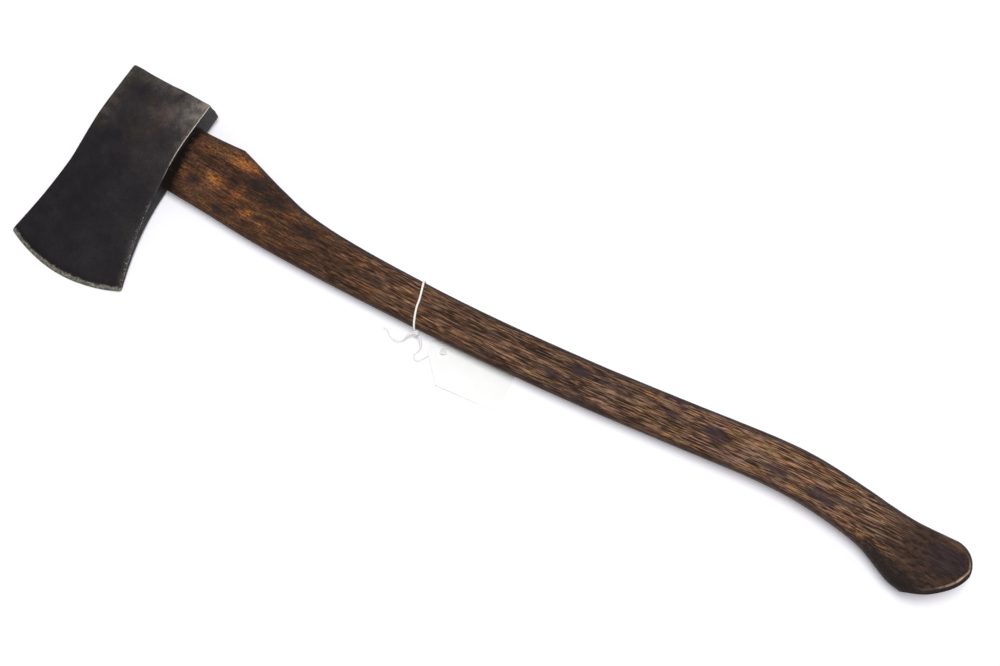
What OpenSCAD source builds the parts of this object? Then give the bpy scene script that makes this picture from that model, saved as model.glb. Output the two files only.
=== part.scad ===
// A single-bit felling axe that lies on its side, with a string and a blank card tag tied to its handle.
// Drawn with x along the handle, from the eye towards the knob, y from the edge towards the poll,
// and z through the cheeks. rest() then lays the axe down on its lower cheek, its edge and its knob.

/* [Head] */
// Poll face to the middle of the cutting edge
head_len = 193.5; // [160:0.5:220]
// Centre of the eye to the poll face
poll_back = 52; // [44:1:62]
// Top of the head above the eye's centre, at the poll face
poll_up = 40.6; // [34:0.2:46]
// Top of the head above the eye's centre, beside the eye
eye_up = 44.8; // [38:0.2:52]
// Top of the head above the eye's centre, at the neck
neck_up = 47; // [40:0.5:54]
// Toe of the edge above the eye's centre
toe_up = 61.7; // [52:0.1:72]
// Underside of the head below the eye's centre, at the poll face
poll_down = 40.3; // [34:0.1:46]
// Underside of the head below the eye's centre, beside the eye
eye_down = 36.8; // [32:0.2:40]
// Underside of the head below the eye's centre, at the neck
neck_down = 37.8; // [32:0.2:44]
// Heel of the edge below the eye's centre
heel_down = 54.5; // [44:0.5:66]
// Centre of the eye to the neck, where the flare towards the edge begins
neck_at = 45; // [38:1:55]
// Height of the cutting edge's curve over its chord
edge_sag = 12.5; // [4:0.5:18]
// Rounding of the toe and the heel of the edge
edge_round = 3.5; // [1:0.5:5]
// Thickness at the poll face
poll_t = 27; // [24:0.5:32]
// Thickness across the eye
cheek_t = 28; // [26:0.5:34]
// Thickness at the neck
neck_t = 17.8; // [13:0.2:22]
// Thickness where the ground band begins
band_t = 2.2; // [1.6:0.1:3.4]
// Width of the ground band along the edge
band_w = 5.5; // [5:0.5:10]
// Thickness of the worn cutting edge
edge_t = 0.4; // [0.2:0.1:0.8]
// Fall of the cheeks from the middle to the sides at their roundest
cheek_crown = 3.6; // [0:0.2:4]
// Bevel along the head's long edges
edge_break = 0.8; // [0.3:0.1:1.5]

/* [Eye and wedges] */
// Length of the eye at its middle
eye_len = 62; // [52:1:68]
// Width of the eye at its middle
eye_w = 18; // [15:0.5:20]
// Flare of the eye's half sizes at its two mouths
eye_flare = 0.8; // [0:0.1:1.5]
// Gap between the wood and the eye's wall, and beside each wedge
fit_gap = 0.05; // [0.02:0.01:0.3]
// Height of the tongue's end over the top of the head
tongue_proud = 0.5; // [0:0.5:5]
// Depth of the saw kerf in the tongue
kerf_depth = 56; // [40:1:66]
// Length of the wooden wedge across the eye
wedge_len = 56; // [46:1:58]
// Thickness of the wooden wedge at its wide end
wedge_t = 6.4; // [4:0.2:8]
// Thickness of the wooden wedge at its tip
wedge_tip = 1.6; // [1:0.1:2.4]
// Width of the steel wedge
steel_w = 25; // [18:1:32]
// Thickness of the steel wedge at its wide end
steel_t = 3; // [2:0.2:4]
// Depth of the steel wedge
steel_depth = 26; // [18:1:36]
// Turn of the steel wedge from the line of the kerf
steel_turn = 35; // [0:5:60]

/* [Handle] */
// Centre of the eye to the tip of the knob
handle_reach = 790; // [640:1:860]
// Centre of the eye to the corner of the shoulder's flare
shoulder_at = 84; // [74:1:100]
// Width of the shoulder at the flare's corner
shoulder_w = 65.5; // [62:0.5:72]
// Thickness of the shoulder
shoulder_t = 22.5; // [20:0.5:26]
// Centre of the eye to the waist
waist_at = 340; // [280:5:420]
// Width of the waist
waist_w = 38.2; // [32:0.2:44]
// Thickness of the waist
waist_t = 20.5; // [19:0.5:24]
// Width of the grip
grip_w = 40; // [34:0.5:46]
// Thickness of the grip
grip_t = 23.5; // [20:0.5:28]
// Length from the middle of the grip to the tip of the knob
knob_reach = 190; // [160:1:220]
// Width of the knob
knob_w = 57.3; // [50:0.1:66]
// Thickness of the knob
knob_t = 27; // [24:0.5:32]
// Belly line below the eye's centre line, at its lowest
belly_low = 34.6; // [30:0.2:40]
// Rise of the belly line from its lowest part to the grip
sweep = 29.4; // [10:0.2:40]
// Drop of the belly line from the grip to the heel of the knob
hook = 22.2; // [14:0.2:30]
// Distance of the knob's heel behind its tip
heel_back = 42; // [36:0.5:48]
// Radius of the knob's outer corner
knob_round = 20; // [14:0.5:24]
// Rise of the knob's back from its heel to its outer corner
knob_lip = 1.4; // [0:0.2:3]
// Bow of the knob's end face
knob_bow = 9; // [5:0.5:11]
// Radius of the rim round the knob's end face
knob_rim = 5; // [2:0.5:7]
// Squareness of the handle's oval, where 2 is an ellipse
oval = 2.6; // [2:0.1:3.4]

/* [String and tag] */
// Diameter of the string
string_d = 1.8; // [1:0.2:2]
// Centre of the eye to the middle of the loop round the handle
loop_at = 288.5; // [284:0.5:292]
// Lean of the loop to each side along the handle
loop_lean = 6.5; // [0:0.5:8]
// Gap between the loop and the wood, and between the string's other parts
string_gap = 0.1; // [0.05:0.05:0.2]
// Radius of the middle of each knot's tube round its core
knot_size = 0.85; // [0.75:0.05:1.1]
// Length of the card tag
tag_len = 77.5; // [66:0.5:110]
// Width of the card tag
tag_w = 58; // [44:1:66]
// Thickness of the card
tag_t = 0.4; // [0.2:0.1:0.6]
// Diameter of the hole in the card
tag_hole = 5; // [4.4:0.2:6]
// Pointed end of the card to its hole
hole_in = 13; // [8:1:16]
// Length of the card's clipped corners
tag_clip = 19; // [10:1:26]
// Width of the card's pointed end
tag_point = 10; // [8:1:30]
// Turn of the card from the line of the handle
tag_turn = 5.5; // [0:0.5:15]

/* [Hidden] */

steel_color = [0.22, 0.21, 0.23];
hickory_color = [0.36, 0.21, 0.12];
wedge_color = [0.55, 0.38, 0.22];
bright_color = [0.45, 0.44, 0.43];
string_color = [0.93, 0.92, 0.89];
card_color = [0.96, 0.96, 0.94];

// Smooth curves

// Slope of a table of [x, y] rows at row i, from the rows beside it
function slope(rows, i) =
    let (a = max(i - 1, 0), b = min(i + 1, len(rows) - 1))
    (rows[b][1] - rows[a][1]) / (rows[b][0] - rows[a][0]);

// Row at which the stretch that holds x begins
function stretch(rows, x, i = 0) =
    i >= len(rows) - 2 || x <= rows[i + 1][0] ? i : stretch(rows, x, i + 1);

// Smooth curve through a table of [x, y] rows
function curve(rows, x) =
    let (i = stretch(rows, x),
         p = rows[i],
         q = rows[i + 1],
         h = q[0] - p[0],
         s = (x - p[0]) / h)
    (2 * s * s * s - 3 * s * s + 1) * p[1] + (s * s * s - 2 * s * s + s) * h * slope(rows, i)
    + (3 * s * s - 2 * s * s * s) * q[1] + (s * s * s - s * s) * h * slope(rows, i + 1);

// Closed forms made of rings

// Two triangles of a quad
function quad(a, b, c, d) = [[a, c, b], [a, d, c]];

// Wall between two rings of n points that start at points a and b
function wall(a, b, n) =
    [for (j = [0 : n - 1]) each quad(a + j, a + (j + 1) % n, b + (j + 1) % n, b + j)];

// Cap over a ring of n points, as a strip between its first and second half
function strip(a, n) =
    [for (j = [0 : n / 2 - 2]) each quad(a + j, a + n - 1 - j, a + n - 2 - j, a + j + 1)];

function turned(faces) = [for (f = faces) [f[2], f[1], f[0]]];

// Solid through a list of rings that all have the same number of points
module loft(rings) {
    n = len(rings[0]);
    last = len(rings) - 1;
    polyhedron(
        points = [for (ring = rings) each ring],
        faces = concat(strip(0, n),
                       [for (r = [0 : last - 1]) each wall(r * n, (r + 1) * n, n)],
                       turned(strip(last * n, n))));
}

// Quarter of an oval, in degrees from its long axis, where its half height falls to h
function oval_start(h, half_t, n) = asin(pow(h / half_t, n / 2));

// Point of an oval of squareness n at angle a: the shares of its half width and half thickness
function oval_point(a, n) =
    [sign(cos(a)) * pow(abs(cos(a)), 2 / n), sign(sin(a)) * pow(abs(sin(a)), 2 / n)];

side_points = 15;
// Power of the bow over a ring's width, where a higher one keeps the middle flatter
bow_power = 2.6;

// Half ring: the points of an oval from one end to the other over the side that faces turn 0 or 180
function half_ring(high, low, t, n, start, turn, bow = 0) =
    let (middle = (high + low) / 2,
         half = (high - low) / 2,
         out = [half[1], -half[0]] / norm(half))
    [for (j = [0 : side_points - 1])
        let (a = turn + start + (180 - 2 * start) * j / (side_points - 1),
             p = oval_point(a, n),
             flat = middle + half * p[0] + out * bow * (1 - pow(abs(p[0]), bow_power)))
        [flat[0], flat[1], p[1] * t / 2]];

// Whole ring between a point on the back of the handle and a point on its belly
function ring(high, low, t, n, start, bow = 0) =
    concat(half_ring(high, low, t, n, start, 0, bow), half_ring(high, low, t, n, start, 180, bow));

// Head

edge_y = poll_back - head_len;
band_y = edge_y + band_w;
corner_y = edge_y + edge_sag;
head_cols = 11;
back_rows = 7;
blade_rows = 11;
round_rows = 4;

// Flare of the head's top and underside from the neck to the corners of the edge
top_flare = 1.2;
under_flare = 1.6;
top_rows = [[-neck_at, neck_up], [0, eye_up], [poll_back, poll_up]];
under_rows = [[-neck_at, neck_down], [0, eye_down], [poll_back, poll_down]];

function flare(y, near, far, power) =
    near + (far - near) * pow((-neck_at - y) / (-neck_at - corner_y), power);
function top_at(y) =
    y > -neck_at ? curve(top_rows, y) : flare(y, neck_up, toe_up, top_flare);
function under_at(y) =
    y > -neck_at ? curve(under_rows, y) : flare(y, neck_down, heel_down, under_flare);

// Shares of the cheeks' crown at the neck, beside the eye and at the poll
neck_crown = 0.6;
eye_crown = 0.25;
poll_crown = 0.1;
mid_blade_y = (band_y - neck_at) / 2;
thick_rows = [[band_y, band_t], [mid_blade_y, (band_t + neck_t) / 2], [-neck_at, neck_t],
              [0, cheek_t], [poll_back, poll_t]];
crown_rows = [[band_y, 0], [mid_blade_y, cheek_crown], [-neck_at, neck_crown * cheek_crown],
              [0, eye_crown * cheek_crown], [poll_back, poll_crown * cheek_crown]];
sag_power = 1.5;
function bow_at(y) = edge_sag * min(1, pow(max(0, (-neck_at - y) / (-neck_at - band_y)), sag_power));
// Draw of the head's top and underside by the rounding of the edge's corners
function drawn(y) =
    let (rest = max(0, edge_round - (y - edge_y))) edge_round - sqrt(edge_round * edge_round - rest * rest);

// Ring round the head at distance y from the eye, bowed like the edge, with thickness t in its middle
function head_ring(y, t, crown, inset) =
    let (bow = bow_at(y),
         up = top_at(y + bow) - inset - drawn(y),
         down = under_at(y + bow) - inset - drawn(y),
         middle = (down - up) / 2,
         half = (down + up) / 2,
         side_t = t - crown - 2 * inset,
         bevel = min(edge_break, side_t / 4),
         share = 1 - bevel / half,
         side = side_t / 2 - bevel,
         upper = concat([[middle + half, y + bow, side]],
                        [for (j = [0 : head_cols - 1])
                            let (s = share * (1 - 2 * j / (head_cols - 1)))
                            [middle + half * s, y + bow * s * s, (t - crown * s * s) / 2 - inset]],
                        [[middle - half, y + bow, side]]))
    concat(upper, [for (j = [len(upper) - 1 : -1 : 0]) [upper[j][0], upper[j][1], -upper[j][2]]]);

function cheek_ring(y) = head_ring(y, curve(thick_rows, y), curve(crown_rows, y), 0);

head_rings = concat(
    [head_ring(poll_back, poll_t, poll_crown * cheek_crown, edge_break)],
    [for (k = [0 : back_rows])
        cheek_ring(poll_back - edge_break - (poll_back - edge_break + neck_at) * k / back_rows)],
    [for (k = [1 : blade_rows]) cheek_ring(-neck_at + (band_y + neck_at) * k / blade_rows)],
    [for (k = [1 : round_rows])
        let (d = edge_round * (1 - sin(90 * k / round_rows)))
        head_ring(edge_y + d, edge_t + (band_t - edge_t) * d / band_w, 0, 0)]);

// Half length and half width of the eye at x
function eye_half(x) = [eye_len, eye_w] / 2 + [1, 1] * eye_flare * abs(x) / eye_up;
eye_oval = 2.3;
eye_overrun = 12;

function eye_start(x) =
    x < kerf_end ? oval_start(kerf_half(x), eye_half(x)[1] - fit_gap, eye_oval) : grip_start;
function eye_ring(x, gap, start) =
    let (half = eye_half(x) - [gap, gap])
    ring([x, half[0]], [x, -half[0]], 2 * half[1], eye_oval, start);

module axe_head() {
    color(steel_color)
    rest()
    difference() {
        loft(head_rings);
        loft([for (x = eye_stations) eye_ring(x, 0, eye_start(x))]);
    }
}

// Handle

tongue_top = -eye_up - tongue_proud;
kerf_end = tongue_top + kerf_depth;
// The wood swells out of the eye from just under the head, over this length
seat_below = 0.4;
swell_len = 10;
seat_power = 1.6;
seat_at = max(under_at(eye_len / 2), under_at(-eye_len / 2)) + seat_below;
knob_start = handle_reach - knob_reach;
heel_at = handle_reach - heel_back;

// Shares of the way along and of the rise or the drop that the belly line and the width make there
sweep_shape = [[0.09, 0], [0.225, 0.007], [0.38, 0.09], [0.535, 0.22], [0.69, 0.42], [0.845, 0.70],
               [1, 1]];
hook_shape = [[0.22, -0.07], [0.43, 0], [0.59, 0.13], [0.69, 0.27], [0.76, 0.44], [0.83, 0.66], [0.92, 0.91],
              [1, 1]];
flare_shape = [[0, 1], [0.08, 0.81], [0.19, 0.54], [0.30, 0.29], [0.45, 0.13], [0.73, 0.03], [1, 0]];
knob_shape = [[0, 0], [0.27, 0.05], [0.51, 0.08], [0.61, 0.12], [0.71, 0.22], [0.76, 0.34], [0.83, 0.57],
              [0.92, 0.86], [1, 1]];

// Height of the belly line at the shoulder over its lowest part, and length of the shoulder's even thickness
shoulder_rise = 2.1;
shoulder_flat = 30;
belly_rows = concat(
    [[seat_at, -eye_len / 2], [shoulder_at, shoulder_rise - belly_low]],
    [for (r = sweep_shape) [shoulder_at + r[0] * (knob_start - shoulder_at), sweep * r[1] - belly_low]],
    [for (r = hook_shape) [knob_start + r[0] * (heel_at - knob_start), sweep - belly_low - hook * r[1]]]);
width_rows = concat(
    [for (r = flare_shape)
        [shoulder_at + r[0] * (waist_at - shoulder_at), waist_w + r[1] * (shoulder_w - waist_w)]],
    [for (r = knob_shape)
        [knob_start + r[0] * (heel_at - knob_start), grip_w + r[1] * (knob_w - grip_w)]]);
handle_t_rows = [[seat_at, eye_w], [seat_at + swell_len, shoulder_t],
                 [shoulder_at + shoulder_flat, shoulder_t], [waist_at, waist_t],
                 [knob_start, grip_t], [heel_at, knob_t]];

function belly(x) = curve(belly_rows, x);
function width(x) =
    let (share = (x - seat_at) / (shoulder_at - seat_at))
    share > 1 ? curve(width_rows, x) : eye_len + (shoulder_w - eye_len) * pow(share, seat_power);
function thick(x) = curve(handle_t_rows, min(x, heel_at));

// Start of the half rings: where the kerf's side meets the oval at the kerf's closed end
function kerf_half(x) =
    fit_gap + (wedge_tip + (wedge_t - wedge_tip) * (kerf_end - x) / kerf_depth) / 2;
grip_start = oval_start(kerf_half(kerf_end), eye_w / 2, eye_oval);

// The corner of the knob runs round from its back to its tip while the belly line reaches the heel
corner_x = handle_reach - knob_round;
corner_top = belly(heel_at) + knob_w + knob_lip;
heel_lead = 8;
lag = corner_x - heel_at + heel_lead;
swell_steps = 3;
corner_steps = 7;
rim_steps = 4;
rim_turn = 75;
ring_step = 12;
knob_step = 5;

function back(x) =
    belly(min(x, heel_at)) + width(min(x, heel_at)) + knob_lip * max(0, (x - heel_at) / (corner_x - heel_at));

function plain_ring(x, lean) =
    let (low = x - lean)
    ring([x, back(x)], [low, belly(low)], thick(x),
         x < shoulder_at ? eye_oval + (oval - eye_oval) * (x - seat_at) / (shoulder_at - seat_at) : oval,
         grip_start);

// Stations from x0 to x1, spread evenly, with the first one left out
function stations(x0, x1, step) =
    let (n = ceil((x1 - x0) / step)) [for (k = [1 : n]) x0 + (x1 - x0) * k / n];

// Ring of the knob's corner at share s of its turn, drawn in by the rim at angle q
function corner_ring(s, q) =
    let (turn = 90 * (1 - s),
         draw = knob_rim * (1 - cos(q)),
         high = [corner_x + (knob_round - draw) * cos(turn), corner_top - knob_round
                 + (knob_round - draw) * sin(turn)],
         low_x = corner_x - lag + (heel_at - corner_x + lag) * s,
         low = [low_x, belly(low_x) + draw])
    ring(high, low, knob_t - 2 * draw, oval, grip_start,
         (knob_bow - knob_rim) * s * s + knob_rim * sin(q));

handle_rings = concat(
    [for (x = [kerf_end, (kerf_end + seat_at) / 2, seat_at]) eye_ring(x, fit_gap, grip_start)],
    [for (k = [1 : swell_steps]) plain_ring(seat_at + swell_len * k / swell_steps, 0)],
    [for (x = stations(seat_at + swell_len, shoulder_at, ring_step)) plain_ring(x, 0)],
    [for (x = stations(shoulder_at, knob_start, ring_step)) plain_ring(x, 0)],
    [for (x = stations(knob_start, corner_x, knob_step))
        plain_ring(x, lag * (x - knob_start) / (corner_x - knob_start))],
    [for (k = [1 : corner_steps]) corner_ring(k / corner_steps, 0)],
    [for (k = [1 : rim_steps]) corner_ring(1, rim_turn * k / rim_steps)]);

// Rings of one half of the split tongue, over the kerf's closed end and past the eye's narrowest place
tongue_stops = [min(0, kerf_end / 2), tongue_top / 2, tongue_top];
tongue_steps = len(tongue_stops);
// The eye has its corners where the wood in it has them, so that only the gap parts the two
eye_stations = concat([-eye_up - eye_overrun], [for (k = [tongue_steps - 1 : -1 : 0]) tongue_stops[k]],
                      [kerf_end, eye_down + eye_overrun]);
function lobe_rings(turn) =
    [for (x = tongue_stops)
        let (half = eye_half(x) - [fit_gap, fit_gap])
        half_ring([x, half[0]], [x, -half[0]], 2 * half[1], eye_oval, eye_start(x), turn)];

// The wood of the handle: the tongue, split by its kerf, and the body are one closed form
module handle_wood() {
    m = side_points;
    n = 2 * m;
    last = len(handle_rings) - 1;
    lobe_points = tongue_steps * m;
    body_points = (last + 1) * n;
    function lobe_start(k, side) = k == 0 ? side * m : body_points + side * lobe_points + (k - 1) * m;
    polyhedron(
        points = concat([for (r = handle_rings) each r],
                        [for (r = lobe_rings(0)) each r],
                        [for (r = lobe_rings(180)) each r]),
        faces = concat(
            [for (r = [0 : last - 1]) each wall(r * n, (r + 1) * n, n)],
            turned(strip(last * n, n)),
            quad(2 * m - 1, m, m - 1, 0),
            [for (side = [0, 1]) for (k = [0 : tongue_steps - 1])
                each wall(lobe_start(k + 1, side), lobe_start(k, side), m)],
            [for (side = [0, 1]) let (a = lobe_start(tongue_steps, side))
                [for (j = [0 : m - 1]) a + j]]));
}

module handle() {
    color(hickory_color)
    rest()
    difference() {
        handle_wood();
        steel_blank(fit_gap);
    }
}

// Wedges

wedge_proud = 0.4;
// The wooden wedge stops short of the kerf's end
wedge_short = 1;
// Thickness of the steel wedge's tip, and reach of its pocket past the wood's end
steel_tip = 0.6;
pocket_over = 1;

// Wooden wedge, drawn in its own plane from its wide end to its tip
module kerf_wedge() {
    top = tongue_top - wedge_proud;
    color(wedge_color)
    rest()
    difference() {
        rotate([90, 0, 0])
        linear_extrude(height = wedge_len, center = true)
        polygon([[top, wedge_t / 2], [kerf_end - wedge_short, wedge_tip / 2],
                 [kerf_end - wedge_short, -wedge_tip / 2], [top, -wedge_t / 2]]);
        steel_blank(fit_gap);
    }
}

// The steel wedge grown by a gap on every side
module steel_blank(gap) {
    top = tongue_top - wedge_proud - (gap > 0 ? pocket_over : 0);
    tip = tongue_top + steel_depth + gap;
    rotate([steel_turn, 0, 0])
    rotate([90, 0, 0])
    linear_extrude(height = steel_w + 2 * gap, center = true)
    polygon([[top, steel_t / 2 + gap], [tip, steel_tip / 2 + gap],
             [tip, -steel_tip / 2 - gap], [top, -steel_t / 2 - gap]]);
}

module steel_wedge() {
    color(bright_color)
    rest()
    steel_blank(0);
}

// Resting pose

// Roll that brings the edge and the lower cheek down together
roll = max([for (r = head_rings) for (p = r) if (p[2] < 0 && p[1] > -neck_at)
    atan((-p[2] - edge_t / 2) / (p[1] - edge_y))]);
// Height of a point over the eye's centre once the axe is rolled
function rolled(p) = p[1] * sin(roll) + p[2] * cos(roll);
head_low = min([for (r = head_rings) for (p = r) rolled(p)]);
// Pitch that brings the knob down to the same level
pitch = max([for (r = handle_rings) for (p = r) if (p[0] > knob_start) atan((head_low - rolled(p)) / p[0])]);
all_points = concat([for (r = head_rings) each r], [for (r = handle_rings) each r]);
function settled(p) = [
    p[0] * cos(pitch) - rolled(p) * sin(pitch),
    p[1] * cos(roll) - p[2] * sin(roll),
    rolled(p) * cos(pitch) + p[0] * sin(pitch)];
settled_points = [for (p = all_points) settled(p)];
low_corner = [for (k = [0 : 2]) min([for (p = settled_points) p[k]])];
high_corner = [for (k = [0 : 2]) max([for (p = settled_points) p[k]])];
centre = [(low_corner[0] + high_corner[0]) / 2, (low_corner[1] + high_corner[1]) / 2, low_corner[2]];

module rest() {
    translate(-centre)
    rotate([roll, -pitch, 0])
    children();
}

// Place on the bench under a point that is given from the eye's centre
module on_bench() {
    translate([-centre[0], -centre[1], 0])
    children();
}

// String and tag

string_sides = 8;
// A direction that no stretch of the string runs along
string_up = [0.31, 0.11, 0.94];

// Ring of a tube at point p that looks along d, with its first side away from up
function tube_ring(p, d, up, r) =
    let (z = d / norm(d), x = cross(up, z) / norm(cross(up, z)), y = cross(z, x))
    [for (j = [0 : string_sides - 1])
        let (a = 360 * (j + 0.5) / string_sides)
        p + r * (cos(a) * x + sin(a) * y)];

// Tube along an open route
module tube(route, r) {
    last = len(route) - 1;
    loft([for (i = [0 : last])
        tube_ring(route[i], route[min(i + 1, last)] - route[max(i - 1, 0)], string_up, r)]);
}

// Tube along a closed route, with up[i] as the direction away from the middle at each point
module closed_tube(route, up, r) {
    n = len(route);
    m = string_sides;
    rings = [for (i = [0 : n - 1])
        tube_ring(route[i], route[(i + 1) % n] - route[(i + n - 1) % n], up[i], r)];
    polyhedron(points = [for (q = rings) each q],
               faces = [for (i = [0 : n - 1]) each wall(i * m, ((i + 1) % n) * m, m)]);
}

// Loop round the handle, leaning so that it is nearer the head at the back of the handle
loop_steps = 40;
loop_off = string_d / 2 + string_gap;
function loop_point(a) =
    let (x = loop_at - loop_lean * cos(a),
         high = back(x),
         low = belly(x),
         p = oval_point(a, oval))
    [x, (high + low) / 2 + ((high - low) / 2 + loop_off) * p[0], (thick(x) / 2 + loop_off) * p[1]];
loop_route = [for (k = [0 : loop_steps - 1]) loop_point(360 * (k + 0.5) / loop_steps)];

module string_loop() {
    color(string_color)
    rest()
    closed_tube(loop_route, [for (p = loop_route) [0, p[1] - belly(p[0]) - width(p[0]) / 2, p[2]]],
                string_d / 2);
}

// Overhand knot as a closed trefoil, flat on its side
knot_steps = 48;
knot_r = 0.9 * knot_size;
knot_half = knot_size + knot_r;
function trefoil(a) = [(2 + cos(3 * a)) * cos(2 * a), (2 + cos(3 * a)) * sin(2 * a), sin(3 * a)];
function trefoil_out(a) = [cos(3 * a) * cos(2 * a), cos(3 * a) * sin(2 * a), sin(3 * a)];

module knot() {
    angles = [for (k = [0 : knot_steps - 1]) 360 * k / knot_steps];
    closed_tube([for (a = angles) knot_size * trefoil(a)], [for (a = angles) trefoil_out(a)], knot_r);
}

// Routes on the bench, from the eye's centre in x and y and from the bench's surface in z.
// The string leaves the knot beside the belly, drops to the bench, runs out and back in a slack curve,
// passes under the card's pointed end and comes up through its hole.
tag_route = [[301.0, -34.9, 8.0], [303.3, -36.9, 6.8], [305.1, -39.4, 5.0], [306.0, -42.2, 3.1],
             [305.8, -45.0, 1.7], [304.8, -47.6, 1.1], [304.2, -50.2, 0.9], [305.6, -52.5, 0.9],
             [308.2, -53.4, 0.9], [310.7, -52.2, 0.9], [312.3, -49.8, 0.9], [313.7, -47.2, 0.9],
             [315.3, -44.6, 0.9], [317.3, -42.2, 0.9], [319.7, -40.0, 0.9], [322.3, -38.0, 0.9],
             [324.0, -36.7, 1.0], [324.9, -36.0, 1.5], [325.2, -35.7, 2.3]];
tail_route = [[294.4, -34.9, 8.0], [292.7, -37.1, 6.8], [291.2, -39.5, 5.0], [290.2, -42.0, 3.1],
              [289.0, -44.2, 1.7], [287.4, -45.8, 1.1], [285.4, -46.8, 0.9], [283.2, -47.2, 0.9],
              [281.0, -47.0, 0.9], [278.9, -46.3, 0.9], [276.9, -45.3, 0.9], [275.1, -44.0, 0.9],
              [273.2, -42.9, 0.9], [271.1, -42.3, 0.9], [268.9, -42.4, 0.9]];
hole_at = tag_route[len(tag_route) - 1];

// The knot that ties the loop sits beside the belly
knot_at = [297.5, -34.1, 8.4];
knot_tip = 70;
module string_knot() {
    color(string_color)
    on_bench()
    translate(knot_at)
    rotate([knot_tip, 0, 0])
    knot();
}

module string_tail() {
    color(string_color)
    on_bench()
    tube(tail_route, string_d / 2);
}

module tag_string() {
    color(string_color)
    on_bench()
    tube(tag_route, string_d / 2);
}

// Rise of the card towards its pointed end, which lies on the string
card_lift = string_d + string_gap;
card_tilt = asin(card_lift / (tag_len - hole_in));

module tag_knot() {
    color(string_color)
    on_bench()
    translate([hole_at[0], hole_at[1], card_lift + tag_t + knot_half + string_gap])
    knot();
}

// Card drawn flat from its hole, with its far edge on the bench
module price_tag() {
    far = tag_len - hole_in;
    color(card_color)
    on_bench()
    translate([hole_at[0], hole_at[1], 0])
    rotate([0, 0, tag_turn])
    translate([far, 0, 0])
    rotate([0, card_tilt, 0])
    translate([-far, 0, 0])
    difference() {
        linear_extrude(height = tag_t)
        polygon([[-hole_in, tag_point / 2], [tag_clip - hole_in, tag_w / 2], [far, tag_w / 2],
                 [far, -tag_w / 2], [tag_clip - hole_in, -tag_w / 2], [-hole_in, -tag_point / 2]]);
        translate([0, 0, -tag_t])
        cylinder(d = tag_hole, h = 3 * tag_t, $fn = 48);
    }
}

axe_head();
handle();
kerf_wedge();
steel_wedge();
string_loop();
string_knot();
string_tail();
tag_string();
tag_knot();
price_tag();
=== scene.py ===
import math
from functools import reduce
from types import SimpleNamespace

import bpy
import numpy as np
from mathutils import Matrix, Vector, noise


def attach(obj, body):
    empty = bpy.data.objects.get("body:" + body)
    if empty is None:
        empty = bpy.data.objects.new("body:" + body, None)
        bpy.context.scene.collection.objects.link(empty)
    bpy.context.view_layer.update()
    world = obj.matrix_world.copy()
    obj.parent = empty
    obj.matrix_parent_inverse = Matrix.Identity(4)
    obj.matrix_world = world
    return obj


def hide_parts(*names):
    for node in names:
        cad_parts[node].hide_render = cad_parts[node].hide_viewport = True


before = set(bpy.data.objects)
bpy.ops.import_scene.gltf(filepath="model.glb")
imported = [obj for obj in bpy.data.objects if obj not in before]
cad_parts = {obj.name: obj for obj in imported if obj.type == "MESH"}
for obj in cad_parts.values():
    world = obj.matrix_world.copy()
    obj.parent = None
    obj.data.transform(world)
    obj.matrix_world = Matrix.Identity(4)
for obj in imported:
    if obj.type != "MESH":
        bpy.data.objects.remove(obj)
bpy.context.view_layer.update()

MM = 0.001

# Camera: the photograph's angle, from over the belly side of the handle
CAMERA_AT = (0.1224, -0.1781, 1.0033)
CAMERA_TILT = math.radians(14.5)
CAMERA_TURN = math.radians(29.6)
CAMERA_LENS = 43.2


def add_object(name, data):
    made = bpy.data.objects.new(name, data)
    bpy.context.scene.collection.objects.link(made)
    return made


def make_camera():
    data = bpy.data.cameras.new("camera")
    data.lens = CAMERA_LENS
    data.clip_start = 0.01
    camera = add_object("camera", data)
    camera.location = CAMERA_AT
    camera.rotation_euler = (CAMERA_TILT, 0, CAMERA_TURN)
    bpy.context.scene.camera = camera


make_camera()

# Resting pose: the handle and the head are drawn in millimetres with x along the handle, y to the poll
# and z through the cheeks, then rolled and pitched until their cheek, their edge and their knob lie down
ROLL = math.radians(5.63)
PITCH = math.radians(0.0301873)
CENTRE = np.array([364.501, -43.921, -14.4389])


def about_x(turn):
    c, s = math.cos(turn), math.sin(turn)
    return np.array([[1, 0, 0], [0, c, -s], [0, s, c]])


def about_y(turn):
    c, s = math.cos(turn), math.sin(turn)
    return np.array([[c, 0, -s], [0, 1, 0], [s, 0, c]])


REST = about_y(PITCH) @ about_x(ROLL)


def settled(points):
    """Drawn points, in millimetres, as they lie on the bench in the row frame, in metres."""
    return (np.asarray(points) @ REST.T - CENTRE) * MM


def drawn_from(points):
    """Points of the row frame, in metres, back in the drawn frame, in millimetres."""
    return (np.asarray(points) / MM + CENTRE) @ REST


def on_bench(points):
    """Points on the bench, from the eye's centre in x and y, in the row frame, in metres."""
    return (np.asarray(points, float) - [CENTRE[0], CENTRE[1], 0]) * MM


# Smooth curves and closed forms

def curve(rows, x):
    """Smooth curve through a table of [x, y] rows."""
    xs, ys = np.asarray(rows, float).T
    last = len(xs) - 1
    low = np.maximum(np.arange(last + 1) - 1, 0)
    high = np.minimum(np.arange(last + 1) + 1, last)
    slopes = (ys[high] - ys[low]) / (xs[high] - xs[low])
    i = np.clip(np.searchsorted(xs, x) - 1, 0, last - 1)
    h = xs[i + 1] - xs[i]
    s = (x - xs[i]) / h
    return ((2 * s**3 - 3 * s**2 + 1) * ys[i] + (s**3 - 2 * s**2 + s) * h * slopes[i]
            + (3 * s**2 - 2 * s**3) * ys[i + 1] + (s**3 - s**2) * h * slopes[i + 1])


def wall_faces(start, other, n):
    return [(start + j, start + (j + 1) % n, other + (j + 1) % n, other + j) for j in range(n)]


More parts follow.
